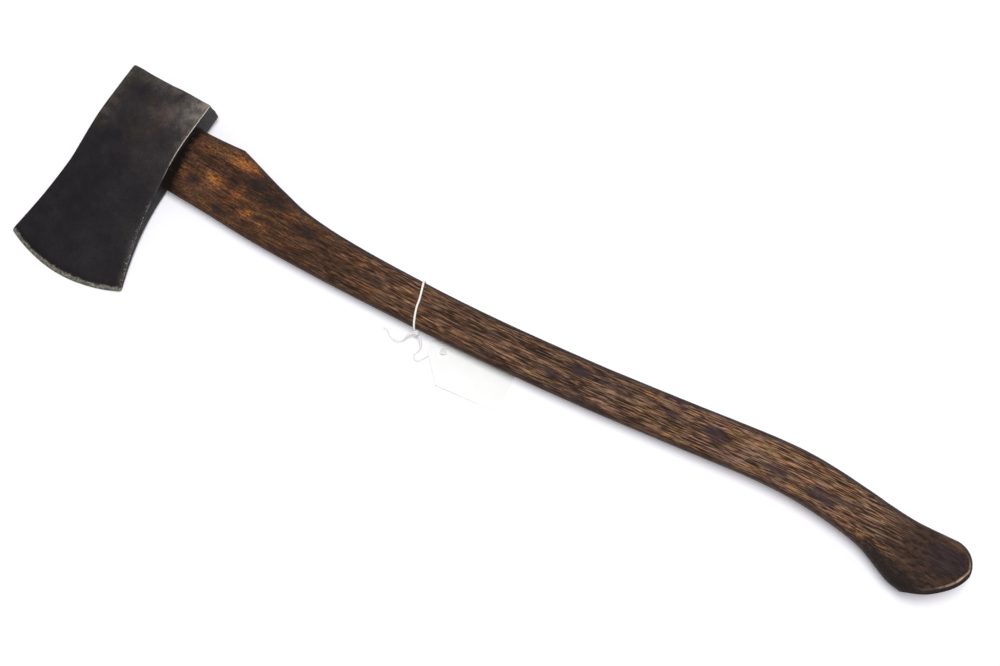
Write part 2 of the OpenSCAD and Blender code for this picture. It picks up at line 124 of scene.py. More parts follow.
def cap(points, faces, start, n, rows, bulge, flip):
    """Closes a ring of n points by rows of points between its points j and n - j, which bulge out."""
    half = n // 2
    columns = [[start] * (rows + 1)]
    for j in range(1, half):
        a, b = points[start + j], points[start + n - j]
        column = [start + j]
        for k in range(1, rows):
            t = k / rows
            column.append(len(points))
            points.append(a + (b - a) * t + bulge * (1 - (2 * t - 1) ** 2) * math.sin(math.pi * j / half))
        column.append(start + n - j)
        columns.append(column)
    columns.append([start + half] * (rows + 1))
    for left, right in zip(columns, columns[1:]):
        for k in range(rows):
            # A corner that comes twice is kept once, so the first and last columns get triangles
            face = tuple(dict.fromkeys((left[k], left[k + 1], right[k + 1], right[k])))
            faces.append(face[::-1] if flip else face)


def lofted(rings, rows=6, first_bulge=(0, 0, 0), last_bulge=(0, 0, 0)):
    """Points and faces of a closed solid through rings that all have the same number of points."""
    n = len(rings[0])
    points = [p for ring in rings for p in ring]
    faces = []
    for r in range(len(rings) - 1):
        faces.extend(wall_faces(r * n, (r + 1) * n, n))
    cap(points, faces, 0, n, rows, np.array(first_bulge), False)
    cap(points, faces, (len(rings) - 1) * n, n, rows, np.array(last_bulge), True)
    return np.array(points), faces


def make_piece(name, points, faces, slot=None, replaces=()):
    """Mesh object in the row frame that rides on the one body."""
    mesh = bpy.data.meshes.new(name)
    mesh.from_pydata([tuple(p) for p in points], [], faces)
    mesh.update()
    mesh.shade_smooth()
    piece = add_object(name, mesh)
    if slot:
        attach(piece, "root")
    if replaces:
        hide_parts(*replaces)
    return piece


def set_values(mesh, **layers):
    """Stores a number or a vector for each point, which the materials read by name."""
    for name, values in layers.items():
        values = np.asarray(values, np.float32)
        kind, field = ("FLOAT", "value") if values.ndim == 1 else ("FLOAT_VECTOR", "vector")
        mesh.attributes.new(name, kind, "POINT").data.foreach_set(field, values.ravel())


def vectors(items, field):
    """A vector of each of a mesh's points or normals."""
    values = np.zeros(len(items) * 3, np.float32)
    items.foreach_get(field, values)
    return values.reshape(-1, 3).astype(float)


def facing(mesh):
    """The way that each point of a mesh faces, in the drawn frame."""
    return vectors(mesh.vertex_normals, "vector") @ REST


def noise_at(points, cells, shift=(0, 0, 0)):
    """Smooth noise about zero at each point, with features of about the cells' sizes."""
    return np.array([noise.noise(Vector(p)) for p in points / cells + shift])


def roughen(mesh, points, amounts, rise):
    """Moves drawn points along their normals by amounts in millimetres, and those that lie on the bench
    not at all: the whole amount is reached at that rise over the bench."""
    at_rest = settled(points)
    free = np.clip(at_rest[:, 2] / (rise * MM), 0, 1)
    moved = at_rest + vectors(mesh.vertex_normals, "vector") * (amounts * free * MM)[:, None]
    mesh.vertices.foreach_set("co", moved.astype(np.float32).ravel())
    mesh.update()


# Handle

EYE_LEN, EYE_W, EYE_FLARE, EYE_OVAL = 62, 18, 0.8, 2.3
EYE_UP, EYE_DOWN = 44.8, 36.8
FIT_GAP = 0.05
TONGUE_TOP = -EYE_UP - 0.5
HANDLE_REACH = 790
SHOULDER_AT, SHOULDER_W, SHOULDER_T = 84, 65.5, 22.5
WAIST_AT, WAIST_W, WAIST_T = 340, 38.2, 20.5
GRIP_W, GRIP_T = 40, 23.5
KNOB_W, KNOB_T = 57.3, 27
KNOB_START = HANDLE_REACH - 190
HEEL_AT = HANDLE_REACH - 42
KNOB_ROUND, KNOB_LIP, KNOB_BOW, KNOB_RIM = 20, 1.4, 9, 5
BELLY_LOW, SWEEP, HOOK = 34.6, 29.4, 22.2
OVAL = 2.6
# The seat lies 0.4 mm below the head's underside, at the eye's longer end
SEAT_AT = 39.08
SWELL_LEN, SEAT_POWER, SHOULDER_RISE, SHOULDER_FLAT = 10, 1.6, 2.1, 30
HEEL_LEAD = 8
BOW_POWER = 2.6
RIM_TURN = math.radians(75)
END_BULGE = (0.5, 0, 0)
# How many rings shape each stretch, and how many points each ring
TONGUE_RINGS, SWELL_RINGS, SHOULDER_RINGS, SHAFT_RINGS, KNOB_RINGS = 24, 8, 19, 239, 109
CORNER_RINGS, RIM_RINGS = 21, 9
RING_POINTS = 112

SWEEP_SHAPE = [
    [0.09, 0], [0.225, 0.007], [0.38, 0.09], [0.535, 0.22], [0.69, 0.42], [0.845, 0.70], [1, 1]]
HOOK_SHAPE = [
    [0.22, -0.07], [0.43, 0], [0.59, 0.13], [0.69, 0.27], [0.76, 0.44], [0.83, 0.66], [0.92, 0.91],
    [1, 1]]
FLARE_SHAPE = [[0, 1], [0.08, 0.81], [0.19, 0.54], [0.30, 0.29], [0.45, 0.13], [0.73, 0.03], [1, 0]]
KNOB_SHAPE = [
    [0, 0], [0.27, 0.05], [0.51, 0.08], [0.61, 0.12], [0.71, 0.22], [0.76, 0.34], [0.83, 0.57],
    [0.92, 0.86], [1, 1]]


def spread(shape, x0, x1, y0, y1):
    """Rows of a shape given in shares, spread between two places and two sizes."""
    return [[x0 + s * (x1 - x0), y0 + t * (y1 - y0)] for s, t in shape]


BELLY_ROWS = ([[SEAT_AT, -EYE_LEN / 2], [SHOULDER_AT, SHOULDER_RISE - BELLY_LOW]]
              + spread(SWEEP_SHAPE, SHOULDER_AT, KNOB_START, -BELLY_LOW, SWEEP - BELLY_LOW)
              + spread(HOOK_SHAPE, KNOB_START, HEEL_AT, SWEEP - BELLY_LOW, SWEEP - BELLY_LOW - HOOK))
WIDTH_ROWS = (spread(FLARE_SHAPE, SHOULDER_AT, WAIST_AT, WAIST_W, SHOULDER_W)
              + spread(KNOB_SHAPE, KNOB_START, HEEL_AT, GRIP_W, KNOB_W))
THICK_ROWS = [
    [SEAT_AT, EYE_W], [SEAT_AT + SWELL_LEN, SHOULDER_T], [SHOULDER_AT + SHOULDER_FLAT, SHOULDER_T],
    [WAIST_AT, WAIST_T], [KNOB_START, GRIP_T], [HEEL_AT, KNOB_T]]
CORNER_X = HANDLE_REACH - KNOB_ROUND


def belly(x):
    return float(curve(BELLY_ROWS, x))


def width(x):
    share = (x - SEAT_AT) / (SHOULDER_AT - SEAT_AT)
    if share > 1:
        return float(curve(WIDTH_ROWS, x))
    return EYE_LEN + (SHOULDER_W - EYE_LEN) * max(share, 0) ** SEAT_POWER


def thick(x):
    return float(curve(THICK_ROWS, min(x, HEEL_AT)))


def back(x):
    return (belly(min(x, HEEL_AT)) + width(min(x, HEEL_AT))
            + KNOB_LIP * max(0, (x - HEEL_AT) / (CORNER_X - HEEL_AT)))


CORNER_TOP = belly(HEEL_AT) + KNOB_W + KNOB_LIP
LAG = CORNER_X - HEEL_AT + HEEL_LEAD

RING_ANGLES = 2 * math.pi * np.arange(RING_POINTS) / RING_POINTS


def oval_point(a, n):
    c, s = np.cos(a), np.sin(a)
    return np.sign(c) * np.abs(c) ** (2 / n), np.sign(s) * np.abs(s) ** (2 / n)


def ring(high, low, thickness, n, bow=0.0):
    """Ring between a point on the handle's back and a point on its belly."""
    high, low = np.array(high, float), np.array(low, float)
    half = (high - low) / 2
    out = np.array([half[1], -half[0]]) / np.linalg.norm(half)
    across, through = oval_point(RING_ANGLES, n)
    bowed = bow * (1 - np.abs(across) ** BOW_POWER)
    flat = (high + low) / 2 + across[:, None] * half + bowed[:, None] * out
    return np.column_stack([flat, through * thickness / 2])


def eye_half(x):
    return EYE_LEN / 2 + EYE_FLARE * abs(x) / EYE_UP, EYE_W / 2 + EYE_FLARE * abs(x) / EYE_UP


def eye_ring(x, gap):
    long_half, short_half = eye_half(x)
    return ring([x, long_half - gap], [x, gap - long_half], 2 * (short_half - gap), EYE_OVAL)


def plain_ring(x, lean):
    low = x - lean
    share = min(1, (x - SEAT_AT) / (SHOULDER_AT - SEAT_AT))
    return ring([x, back(x)], [low, belly(low)], thick(x), EYE_OVAL + (OVAL - EYE_OVAL) * share)


def corner_ring(s, q):
    turn = math.pi / 2 * (1 - s)
    draw = KNOB_RIM * (1 - math.cos(q))
    high = [CORNER_X + (KNOB_ROUND - draw) * math.cos(turn),
            CORNER_TOP - KNOB_ROUND + (KNOB_ROUND - draw) * math.sin(turn)]
    low_x = CORNER_X - LAG + (HEEL_AT - CORNER_X + LAG) * s
    return ring(high, [low_x, belly(low_x) + draw], KNOB_T - 2 * draw, OVAL,
                (KNOB_BOW - KNOB_RIM) * s * s + KNOB_RIM * math.sin(q))


def between(start, end, n):
    """So many places from start to end, without the start itself."""
    return np.linspace(start, end, n + 1)[1:]


def handle_rings():
    swell_end = SEAT_AT + SWELL_LEN
    rings = [eye_ring(x, FIT_GAP) for x in np.linspace(TONGUE_TOP, SEAT_AT, TONGUE_RINGS)]
    for start, end, n in ((SEAT_AT, swell_end, SWELL_RINGS), (swell_end, SHOULDER_AT, SHOULDER_RINGS),
                          (SHOULDER_AT, KNOB_START, SHAFT_RINGS)):
        rings += [plain_ring(x, 0) for x in between(start, end, n)]
    rings += [plain_ring(x, LAG * (x - KNOB_START) / (CORNER_X - KNOB_START))
              for x in between(KNOB_START, CORNER_X, KNOB_RINGS)]
    rings += [corner_ring(s, 0) for s in between(0, 1, CORNER_RINGS)]
    rings += [corner_ring(1, q) for q in between(0, RIM_TURN, RIM_RINGS)]
    return rings


# The grain follows half of the handle's sweep and runs out straight through the knob
GRAIN_ROWS = [[-50, 0], [120, 0], [340, 5], [520, 19], [640, 28], [800, 32]]
# A hand-shaved surface wanders by a fraction of a millimetre: amounts, sizes of the cells, shifts
WANDERS = ((0.16, (38, 22, 16), (0, 0, 0)), (0.05, (11, 6, 6), (0, 9, 0)))
# It starts over this length from the seat, and is whole at this height over the bench
WANDER_START, HANDLE_RISE = 20, 0.6
# The knob's end faces about this way in x and y, ahead and to the belly
KNOB_END_FACES = (0.84, -0.54)


def rim_distance(points, rings):
    """How far in from the outline of the knob's end each point lies, seen from above."""
    end_rings = np.array(rings[-RIM_RINGS - 1:])[:, :RING_POINTS // 2 + 1, :2]
    farthest = np.argmax(end_rings @ KNOB_END_FACES, axis=0)
    outline = [end_rings[farthest[j], j] for j in range(len(farthest))]
    outline += [ring[0, :2] for ring in rings[-RIM_RINGS - CORNER_RINGS:-RIM_RINGS]]
    return np.array([np.min(np.linalg.norm(np.array(outline) - p[:2], axis=1)) for p in points])


def make_handle():
    rings = handle_rings()
    points, faces = lofted(rings, last_bulge=END_BULGE)
    piece = make_piece("axe_handle", settled(points), faces, "handle_wood", ["handle"])
    mesh = piece.data
    wander = sum(amount * noise_at(points, cells, shift) for amount, cells, shift in WANDERS)
    started = np.clip((points[:, 0] - SEAT_AT) / WANDER_START, 0, 1)
    roughen(mesh, points, wander * started, HANDLE_RISE)
    set_values(mesh, place=points, facing=facing(mesh), rim=rim_distance(points, rings),
               grain=points - np.outer(curve(GRAIN_ROWS, points[:, 0]), [0, 1, 0]))
    return piece


# Head

HEAD_LEN, POLL_BACK = 193.5, 52
TOP_ROWS = [[-45, 47], [0, EYE_UP], [POLL_BACK, 40.6]]
UNDER_ROWS = [[-45, 37.8], [0, EYE_DOWN], [POLL_BACK, 40.3]]
NECK_AT, NECK_UP, NECK_DOWN = 45, 47, 37.8
TOE_UP, HEEL_DOWN = 61.7, 54.5
TOP_FLARE, UNDER_FLARE = 1.2, 1.6
EDGE_SAG, SAG_POWER, EDGE_ROUND = 12.5, 1.5, 3.5
POLL_T, CHEEK_T, NECK_T, BAND_T, EDGE_T = 27, 28, 17.8, 2.2, 0.4
BAND_W = 5.5
CHEEK_CROWN, NECK_CROWN, EYE_CROWN, POLL_CROWN = 3.6, 2.16, 0.9, 0.36
EDGE_BREAK = 0.9
EDGE_Y = POLL_BACK - HEAD_LEN
BAND_Y = EDGE_Y + BAND_W
CORNER_Y = EDGE_Y + EDGE_SAG
MID_BLADE_Y = (BAND_Y - NECK_AT) / 2
HEAD_THICK_ROWS = [
    [BAND_Y, BAND_T], [MID_BLADE_Y, (BAND_T + NECK_T) / 2], [-NECK_AT, NECK_T], [0, CHEEK_T],
    [POLL_BACK, POLL_T]]
CROWN_ROWS = [
    [BAND_Y, 0], [MID_BLADE_Y, CHEEK_CROWN], [-NECK_AT, NECK_CROWN], [0, EYE_CROWN],
    [POLL_BACK, POLL_CROWN]]
# The poll's corners are worn round by this radius and share, within this reach, and its face waves
POLL_CORNER, CORNER_WORN, POLL_WORN = 2.0, 0.8, 9.0
POLL_WAVE, WAVE_CELLS, WAVE_RISE = 0.8, (17, 9, 1), 0.3
# The forging is nearly flat, so it wanders only a little
FORGED_WANDER, FORGED_CELLS, HEAD_RISE = 0.14, (19, 23, 15), 0.8
# How many columns and rings shape each stretch
CHEEK_COLUMNS, ARC_STEPS, WALL_STEPS = 57, 4, 3
BREAK_RINGS, CHEEK_RINGS, BLADE_RINGS, EDGE_RINGS, CAP_ROWS = 5, 36, 47, 11, 8
BAND_MIDDLE = 4.6
POLL_BULGE = (0, 0.25, 0)
HOLE_PAST = 12
SHARP_FROM = math.radians(40)


def flare(y, near, far, power):
    return near + (far - near) * np.maximum(0, (-NECK_AT - y) / (-NECK_AT - CORNER_Y)) ** power


def top_at(y):
    return np.where(y > -NECK_AT, curve(TOP_ROWS, y), flare(y, NECK_UP, TOE_UP, TOP_FLARE))


def under_at(y):
    return np.where(y > -NECK_AT, curve(UNDER_ROWS, y), flare(y, NECK_DOWN, HEEL_DOWN, UNDER_FLARE))


def bow_at(y):
    return EDGE_SAG * np.minimum(1, np.maximum(0, (-NECK_AT - y) / (-NECK_AT - BAND_Y)) ** SAG_POWER)


def drawn(y):
    rest = np.maximum(0, EDGE_ROUND - (y - EDGE_Y))
    return EDGE_ROUND - np.sqrt(np.maximum(0, EDGE_ROUND**2 - rest**2))


def head_ring(y, t, crown, inset):
    """Ring round the head at y, from the underside over the upper cheek and back."""
    bow = float(bow_at(y))
    up = float(top_at(y + bow)) - inset - float(drawn(y))
    down = float(under_at(y + bow)) - inset - float(drawn(y))
    middle, half = (down - up) / 2, (down + up) / 2
    bevel = min(EDGE_BREAK, (t - crown - 2 * inset) / 4)
    share = 1 - bevel / half
    s = share * np.linspace(1, -1, CHEEK_COLUMNS)
    z = (t - crown * s * s) / 2 - inset
    shoulder = z[0] - bevel
    arc = math.pi / 2 * np.arange(ARC_STEPS) / ARC_STEPS
    arc_s = share + bevel / half * np.cos(arc)
    arc_z = shoulder + bevel * np.sin(arc)
    wall_z = shoulder * np.arange(WALL_STEPS) / WALL_STEPS
    half_s = np.concatenate([np.ones(WALL_STEPS), arc_s, s, -arc_s[::-1], -np.ones(WALL_STEPS)])
    half_z = np.concatenate([wall_z, arc_z, z, arc_z[::-1], wall_z[::-1]])
    upper = np.column_stack([middle + half * half_s, y + bow * half_s**2, half_z])
    return np.concatenate([upper, (upper * [1, 1, -1])[-2:0:-1]])


def cheek_ring(y):
    return head_ring(y, float(curve(HEAD_THICK_ROWS, y)), float(curve(CROWN_ROWS, y)), 0)


def head_rings():
    rings = [head_ring(POLL_BACK - EDGE_BREAK * (1 - math.cos(a)), POLL_T, POLL_CROWN,
                       EDGE_BREAK * (1 - math.sin(a)))
             for a in np.linspace(0, math.pi / 2, BREAK_RINGS, endpoint=False)]
    rings += [cheek_ring(y) for y in np.linspace(POLL_BACK - EDGE_BREAK, -NECK_AT, CHEEK_RINGS)]
    rings += [cheek_ring(y) for y in between(-NECK_AT, BAND_Y, BLADE_RINGS)]
    rounded = EDGE_ROUND * (1 - np.sin(np.linspace(0, math.pi / 2, EDGE_RINGS)))
    rings += [head_ring(EDGE_Y + d, EDGE_T + (BAND_T - EDGE_T) * d / BAND_W, 0, 0)
              for d in (BAND_MIDDLE, *rounded)]
    return rings


def head_marks(points):
    """Each point's distances to the underside's edge, to the cutting edge and in from the cheeks' plane,
    and its distance to the upper edge."""
    x, y = points[:, 0], points[:, 1]
    row = y.copy()
    for _ in range(12):
        bow = bow_at(row)
        up, down = top_at(row + bow) - drawn(row), under_at(row + bow) - drawn(row)
        share = np.clip((x - (down - up) / 2) / ((down + up) / 2), -1, 1)
        row = y - bow * share**2
    half = (down + up) / 2
    cheek_half = (curve(HEAD_THICK_ROWS, row) - curve(CROWN_ROWS, row)) / 2
    depth = np.where(row > BAND_Y, cheek_half, EDGE_T) - np.abs(points[:, 2])
    return np.column_stack([half * (1 - share), row - EDGE_Y, depth]), half * (1 + share)


def hammered(points):
    """The poll's corners worn round and its face a little wavy from blows."""
    x, y = points[:, 0], points[:, 1]
    near = np.clip((y - POLL_BACK + POLL_WORN) / POLL_WORN, 0, 1) ** 2
    past = np.maximum(-x - float(top_at(POLL_BACK)), x - float(under_at(POLL_BACK)))
    over = np.clip(past + POLL_CORNER, 0, POLL_CORNER)
    corner = POLL_CORNER - np.sqrt(POLL_CORNER**2 - over**2)
    wave = noise_at(points[:, [0, 2, 1]] * [1, 1, 0], WAVE_CELLS, (0, 0, 2))
    moved = points.copy()
    moved[:, 1] -= near * (CORNER_WORN * corner + POLL_WAVE * np.clip(wave + WAVE_RISE, 0, 1))
    return moved


def cut_eye(piece):
    """Cuts the eye, which tapers to the head's middle, out of the forging."""
    places = (-EYE_UP - HOLE_PAST, -EYE_UP / 2, 0, EYE_DOWN / 2, EYE_DOWN + HOLE_PAST)
    hole_points, hole_faces = lofted([eye_ring(x, 0) for x in places])
    hole = make_piece("eye_cutter", settled(hole_points), hole_faces)
    cut = piece.modifiers.new("eye", "BOOLEAN")
    cut.object = hole
    cut.solver = "EXACT"
    graph = bpy.context.evaluated_depsgraph_get()
    piece.data = bpy.data.meshes.new_from_object(piece.evaluated_get(graph))
    piece.modifiers.clear()
    bpy.data.objects.remove(hole)


def make_head():
    points, faces = lofted(head_rings(), rows=CAP_ROWS, first_bulge=POLL_BULGE)
    points = hammered(points)
    piece = make_piece("forged_head", settled(points), faces, "head_steel", ["axe_head"])
    roughen(piece.data, points, FORGED_WANDER * noise_at(points, FORGED_CELLS, (0, 0, 4)), HEAD_RISE)
    cut_eye(piece)
    mesh = piece.data
    mesh.shade_smooth()
    mesh.set_sharp_from_angle(angle=SHARP_FROM)
    place = drawn_from(vectors(mesh.vertices, "co"))
    marks, top_edge = head_marks(place)
    set_values(mesh, place=place, facing=facing(mesh), marks=marks, top_edge=top_edge)
    return piece


# String: one length of cotton, laid from three plies

STRING_D = 1.8
STRING_GAP = 0.1
PLY_PITCH = 3.4
PLY_DEPTH = 0.14
STRING_SIDES = 30
STRING_UP = np.array([0.31, 0.11, 0.94])
LOOP_POINTS, LOOP_STEPS, KNOT_POINTS, CORD_STEPS = 120, 3, 180, 8
LOOP_AT, LOOP_LEAN = 288.5, 6.5
# The knots' size, the string's radius in them, and half their height, both in sizes
KNOT_SIZE, KNOT_STRING, KNOT_HALF = 0.85, 0.9, 1.9
KNOT_AT = [297.5, -34.1, 8.4]
KNOT_TIP = math.radians(70)

# The routes of the part's source, in millimetres from the eye's centre and the bench
TAG_ROUTE = [
    [301.0, -34.9, 8.0], [303.3, -36.9, 6.8], [305.1, -39.4, 5.0], [306.0, -42.2, 3.1],
    [305.8, -45.0, 1.7], [304.8, -47.6, 1.1], [304.2, -50.2, 0.9], [305.6, -52.5, 0.9],
    [308.2, -53.4, 0.9], [310.7, -52.2, 0.9], [312.3, -49.8, 0.9], [313.7, -47.2, 0.9],
    [315.3, -44.6, 0.9], [317.3, -42.2, 0.9], [319.7, -40.0, 0.9], [322.3, -38.0, 0.9],
    [324.0, -36.7, 1.0], [324.9, -36.0, 1.5], [325.2, -35.7, 2.3]]
TAIL_ROUTE = [
    [294.4, -34.9, 8.0], [292.7, -37.1, 6.8], [291.2, -39.5, 5.0], [290.2, -42.0, 3.1],
    [289.0, -44.2, 1.7], [287.4, -45.8, 1.1], [285.4, -46.8, 0.9], [283.2, -47.2, 0.9],
    [281.0, -47.0, 0.9], [278.9, -46.3, 0.9], [276.9, -45.3, 0.9], [275.1, -44.0, 0.9],
    [273.2, -42.9, 0.9], [271.1, -42.3, 0.9], [268.9, -42.4, 0.9]]
TAG_T = 0.4
CARD_LIFT = STRING_D + STRING_GAP


def spline(points, closed, steps):
    """Smooth line through points, with so many steps from one to the next."""
    points = np.asarray(points, float)
    if closed:
        padded = np.vstack([points[-1], points, points[:2]])
    else:
        padded = np.vstack([2 * points[0] - points[1], points, 2 * points[-1] - points[-2]])
    line = []
    for a, b, c, d in zip(padded, padded[1:], padded[2:], padded[3:]):
        for t in np.arange(steps) / steps:
            line.append(b + 0.5 * t * (c - a + t * (2 * a - 5 * b + 4 * c - d + t * (3 * (b - c) + d - a))))
    if not closed:
        line.append(points[-1])
    return np.array(line)


def unit(arrows):
    return arrows / np.linalg.norm(arrows, axis=1)[:, None]


def rope_mesh(line, ups, radius, closed):
    """Tube of three twisted plies along a line, with ups as the sideways directions to turn from."""
    n = len(line)
    if closed:
        ahead = np.roll(line, -1, 0) - np.roll(line, 1, 0)
        steps = np.roll(line, -1, 0) - line
    else:
        ahead = np.gradient(line, axis=0)
        steps = np.diff(line, axis=0)
    ahead = unit(ahead)
    side = unit(np.cross(ups, ahead))
    over = np.cross(ahead, side)
    run = np.concatenate([[0], np.cumsum(np.linalg.norm(steps, axis=1))])
    turns = run[-1] / PLY_PITCH
    if closed:
        turns = round(turns * 3) / 3
    phase = 2 * math.pi * turns * run[:n] / run[-1]
    angle = 2 * math.pi * np.arange(STRING_SIDES) / STRING_SIDES
    ply = np.abs(np.cos(1.5 * (angle[None, :] - phase[:, None])))
    r = radius * (1 - PLY_DEPTH + PLY_DEPTH * ply)
    points = (line[:, None, :] + (r * np.cos(angle))[:, :, None] * side[:, None, :]
              + (r * np.sin(angle))[:, :, None] * over[:, None, :])
    faces = []
    for i in range(n if closed else n - 1):
        faces.extend(wall_faces(i * STRING_SIDES, (i + 1) % n * STRING_SIDES, STRING_SIDES))
    if not closed:
        faces.append(tuple(range(STRING_SIDES))[::-1])
        faces.append(tuple(range((n - 1) * STRING_SIDES, n * STRING_SIDES)))
    return points.reshape(-1, 3), faces, run[-1]


def make_loop():
    angles = 2 * math.pi * (np.arange(LOOP_POINTS) + 0.5) / LOOP_POINTS
    off = STRING_D / 2 + STRING_GAP
    line = []
    for a in angles:
        x = LOOP_AT - LOOP_LEAN * math.cos(a)
        middle, half = (back(x) + belly(x)) / 2, (back(x) - belly(x)) / 2
        across, through = oval_point(a, OVAL)
        line.append([x, middle + (half + off) * across, (thick(x) / 2 + off) * through])
    line = spline(line, True, LOOP_STEPS)
    middles = np.array([belly(x) + width(x) / 2 for x in line[:, 0]])
    ups = np.column_stack([0 * middles, line[:, 1] - middles, line[:, 2]])
    points, faces, _ = rope_mesh(line, ups, STRING_D / 2, True)
    return make_piece("cotton_loop", settled(points), faces, "string", ["string_loop"])


def make_knot(name, node, middle, tip):
    """Closed trefoil, tipped about x."""
    a = 2 * math.pi * np.arange(KNOT_POINTS) / KNOT_POINTS
    round_twice = np.column_stack([np.cos(2 * a), np.sin(2 * a), 0 * a])
    ups = np.cos(3 * a)[:, None] * round_twice + np.outer(np.sin(3 * a), [0, 0, 1])
    line = KNOT_SIZE * (2 * round_twice + ups)
    points, faces, _ = rope_mesh(line, ups, KNOT_STRING * KNOT_SIZE, True)
    return make_piece(name, on_bench(points @ about_x(tip).T + middle), faces, "string", [node])


def make_cord(name, node, route):
    line = spline(route, False, CORD_STEPS)
    points, faces, length = rope_mesh(line, np.tile(STRING_UP, (len(line), 1)), STRING_D / 2, False)
    piece = make_piece(name, on_bench(points), faces, "string", [node])
    return piece


hole_at = TAG_ROUTE[-1]
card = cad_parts["price_tag"]
stopper_z = CARD_LIFT + TAG_T + KNOT_SIZE * KNOT_HALF + STRING_GAP
stopper = make_knot("stopper_knot", "tag_knot", [*hole_at[:2], stopper_z], 0)
cotton_pieces = [
    stopper, make_cord("cotton_to_card", "tag_string", TAG_ROUTE),
    make_cord("cotton_tail", "string_tail", TAIL_ROUTE), make_loop(),
    make_knot("loop_knot", "string_knot", KNOT_AT, KNOT_TIP)]
handle = make_handle()
head = make_head()


# Materials

def srgb(colour):
    """A colour as it looks on a screen, 0 to 255, in the linear values that nodes take."""
    shares = [c / 255 for c in colour]
    return [c / 12.92 if c <= 0.04045 else ((c + 0.055) / 1.055) ** 2.4 for c in shares] + [1]


class Shader:
    """The nodes of a material or of the world, by short calls."""

    def __init__(self, owner):
        owner.use_nodes = True
        self.owner = owner
        self.tree = owner.node_tree
        self.tree.nodes.clear()

    def node(self, kind, inputs, **settings):
        made = self.tree.nodes.new("ShaderNode" + kind)
        for key, value in settings.items():
            setattr(made, key, value)
        for key, value in inputs.items():
            if isinstance(value, bpy.types.NodeSocket):
                self.tree.links.new(value, made.inputs[key])
            else:
                made.inputs[key].default_value = value
        return made

    def attribute(self, name, output="Vector"):
        return self.node("Attribute", {}, attribute_name=name).outputs[output]

    def object_mm(self):
        """The place in the piece's own frame, in millimetres."""
        return self.scaled(self.node("TexCoord", {}).outputs["Object"], MM)

    def split(self, vector):
        return tuple(self.node("SeparateXYZ", {0: vector}).outputs)

    def length(self, vector):
        return self.node("VectorMath", {0: vector}, operation="LENGTH").outputs["Value"]

    def math(self, operation, a, b=0.0):
        return self.node("Math", {0: a, 1: b}, operation=operation).outputs[0]

    def mul(self, *values):
        return reduce(lambda a, b: self.math("MULTIPLY", a, b), values)

    def add(self, *values):
        return reduce(lambda a, b: self.math("ADD", a, b), values)

    def largest(self, *values):
        return reduce(lambda a, b: self.math("MAXIMUM", a, b), values)

    def swing(self, value, amount):
        """A value of 0 to 1, moved to swing about zero, times an amount."""
        return self.mul(self.add(value, -0.5), amount)

    def scaled(self, vector, sizes, shift=(0, 0, 0)):
        """A place in units of three sizes, or of one, so that noise of it has features of about those."""
        factors = tuple(1 / s for s in np.broadcast_to(sizes, 3))
        made = self.node("VectorMath", {0: vector, 1: factors, 2: shift}, operation="MULTIPLY_ADD")
        return made.outputs[0]

    def noise(self, vector, sizes, detail=2.0, rough=0.5, shift=(0, 0, 0), distortion=0.0):
        made = self.node("TexNoise", {"Vector": self.scaled(vector, sizes, shift), "Scale": 1.0,
                                      "Detail": detail, "Roughness": rough, "Distortion": distortion})
        return made.outputs["Fac"]

    def noises(self, vector, table):
        """The noises of a table, by name."""
        return SimpleNamespace(**{name: self.noise(vector, *settings) for name, settings in table.items()})

    def step(self, value, low, high, out_low=0.0, out_high=1.0):
        made = self.node("MapRange", {"Value": value, "From Min": low, "From Max": high, "To Min": out_low,
                                      "To Max": out_high}, interpolation_type="SMOOTHSTEP")
        return made.outputs["Result"]

    def band(self, value, start, whole, waning, end):
        """0 up to the start, 1 from whole to waning, and 0 again from the end."""
        return self.mul(self.step(value, start, whole), self.step(value, end, waning))

    def spot(self, vector, middle, sizes):
        """1 in the middle of an oval spot, falling to 0 at its sizes."""
        away = self.node("VectorMath", {0: vector, 1: middle}, operation="SUBTRACT").outputs[0]
        return self.step(self.length(self.scaled(away, sizes)), 0, 1, 1, 0)

    def spots(self, vector, table):
        """The strongest of a table's oval spots."""
        return self.largest(*(self.mul(self.spot(vector, (x, y, SPOT_Z), (long, wide, THROUGH)), strength)
                              for x, y, long, wide, strength in table))

    def ramp(self, value, stops):
        made = self.node("ValToRGB", {0: value})
        elements = made.color_ramp.elements
        while len(elements) < len(stops):
            elements.new(1.0)
        for element, (position, colour) in zip(elements, stops):
            element.position = position
            element.color = srgb(colour)
        return made.outputs["Color"]

    def mix(self, factor, a, b, blend="MIX"):
        """Two colours mixed, each a socket or three numbers as they look on a screen."""
        a, b = (srgb(colour) if isinstance(colour, tuple) else colour for colour in (a, b))
        made = self.node("Mix", {0: factor, 6: a, 7: b}, data_type="RGBA", blend_type=blend)
        return made.outputs[2]

    def tinted(self, colour, factor, tint):
        """A colour times a tint of three factors near 1, where the factor is 1."""
        share = self.node("Mix", {0: factor, 6: (1, 1, 1, 1), 7: (*tint, 1)}, data_type="RGBA")
        return self.mix(1.0, colour, share.outputs[2], "MULTIPLY")

    def bump(self, height, distance, normal=None):
        inputs = {"Height": height, "Distance": distance * MM, "Strength": 1.0}
        if normal is not None:
            inputs["Normal"] = normal
        return self.node("Bump", inputs).outputs["Normal"]

    def finish(self, **inputs):
        """Joins the principled shader, with its constant and its linked inputs."""
        named = {key.replace("_", " "): value for key, value in inputs.items()}
        shader = self.node("BsdfPrincipled", named)
        self.node("OutputMaterial", {"Surface": shader.outputs[0]})
        return self.owner


def new_material(name):
    return Shader(bpy.data.materials.new(name))


# Oval spots: middle and half sizes in x and y, in drawn millimetres, and strength, with the height of
# their middle and their half size in z
SPOT_Z, THROUGH = 11, 30
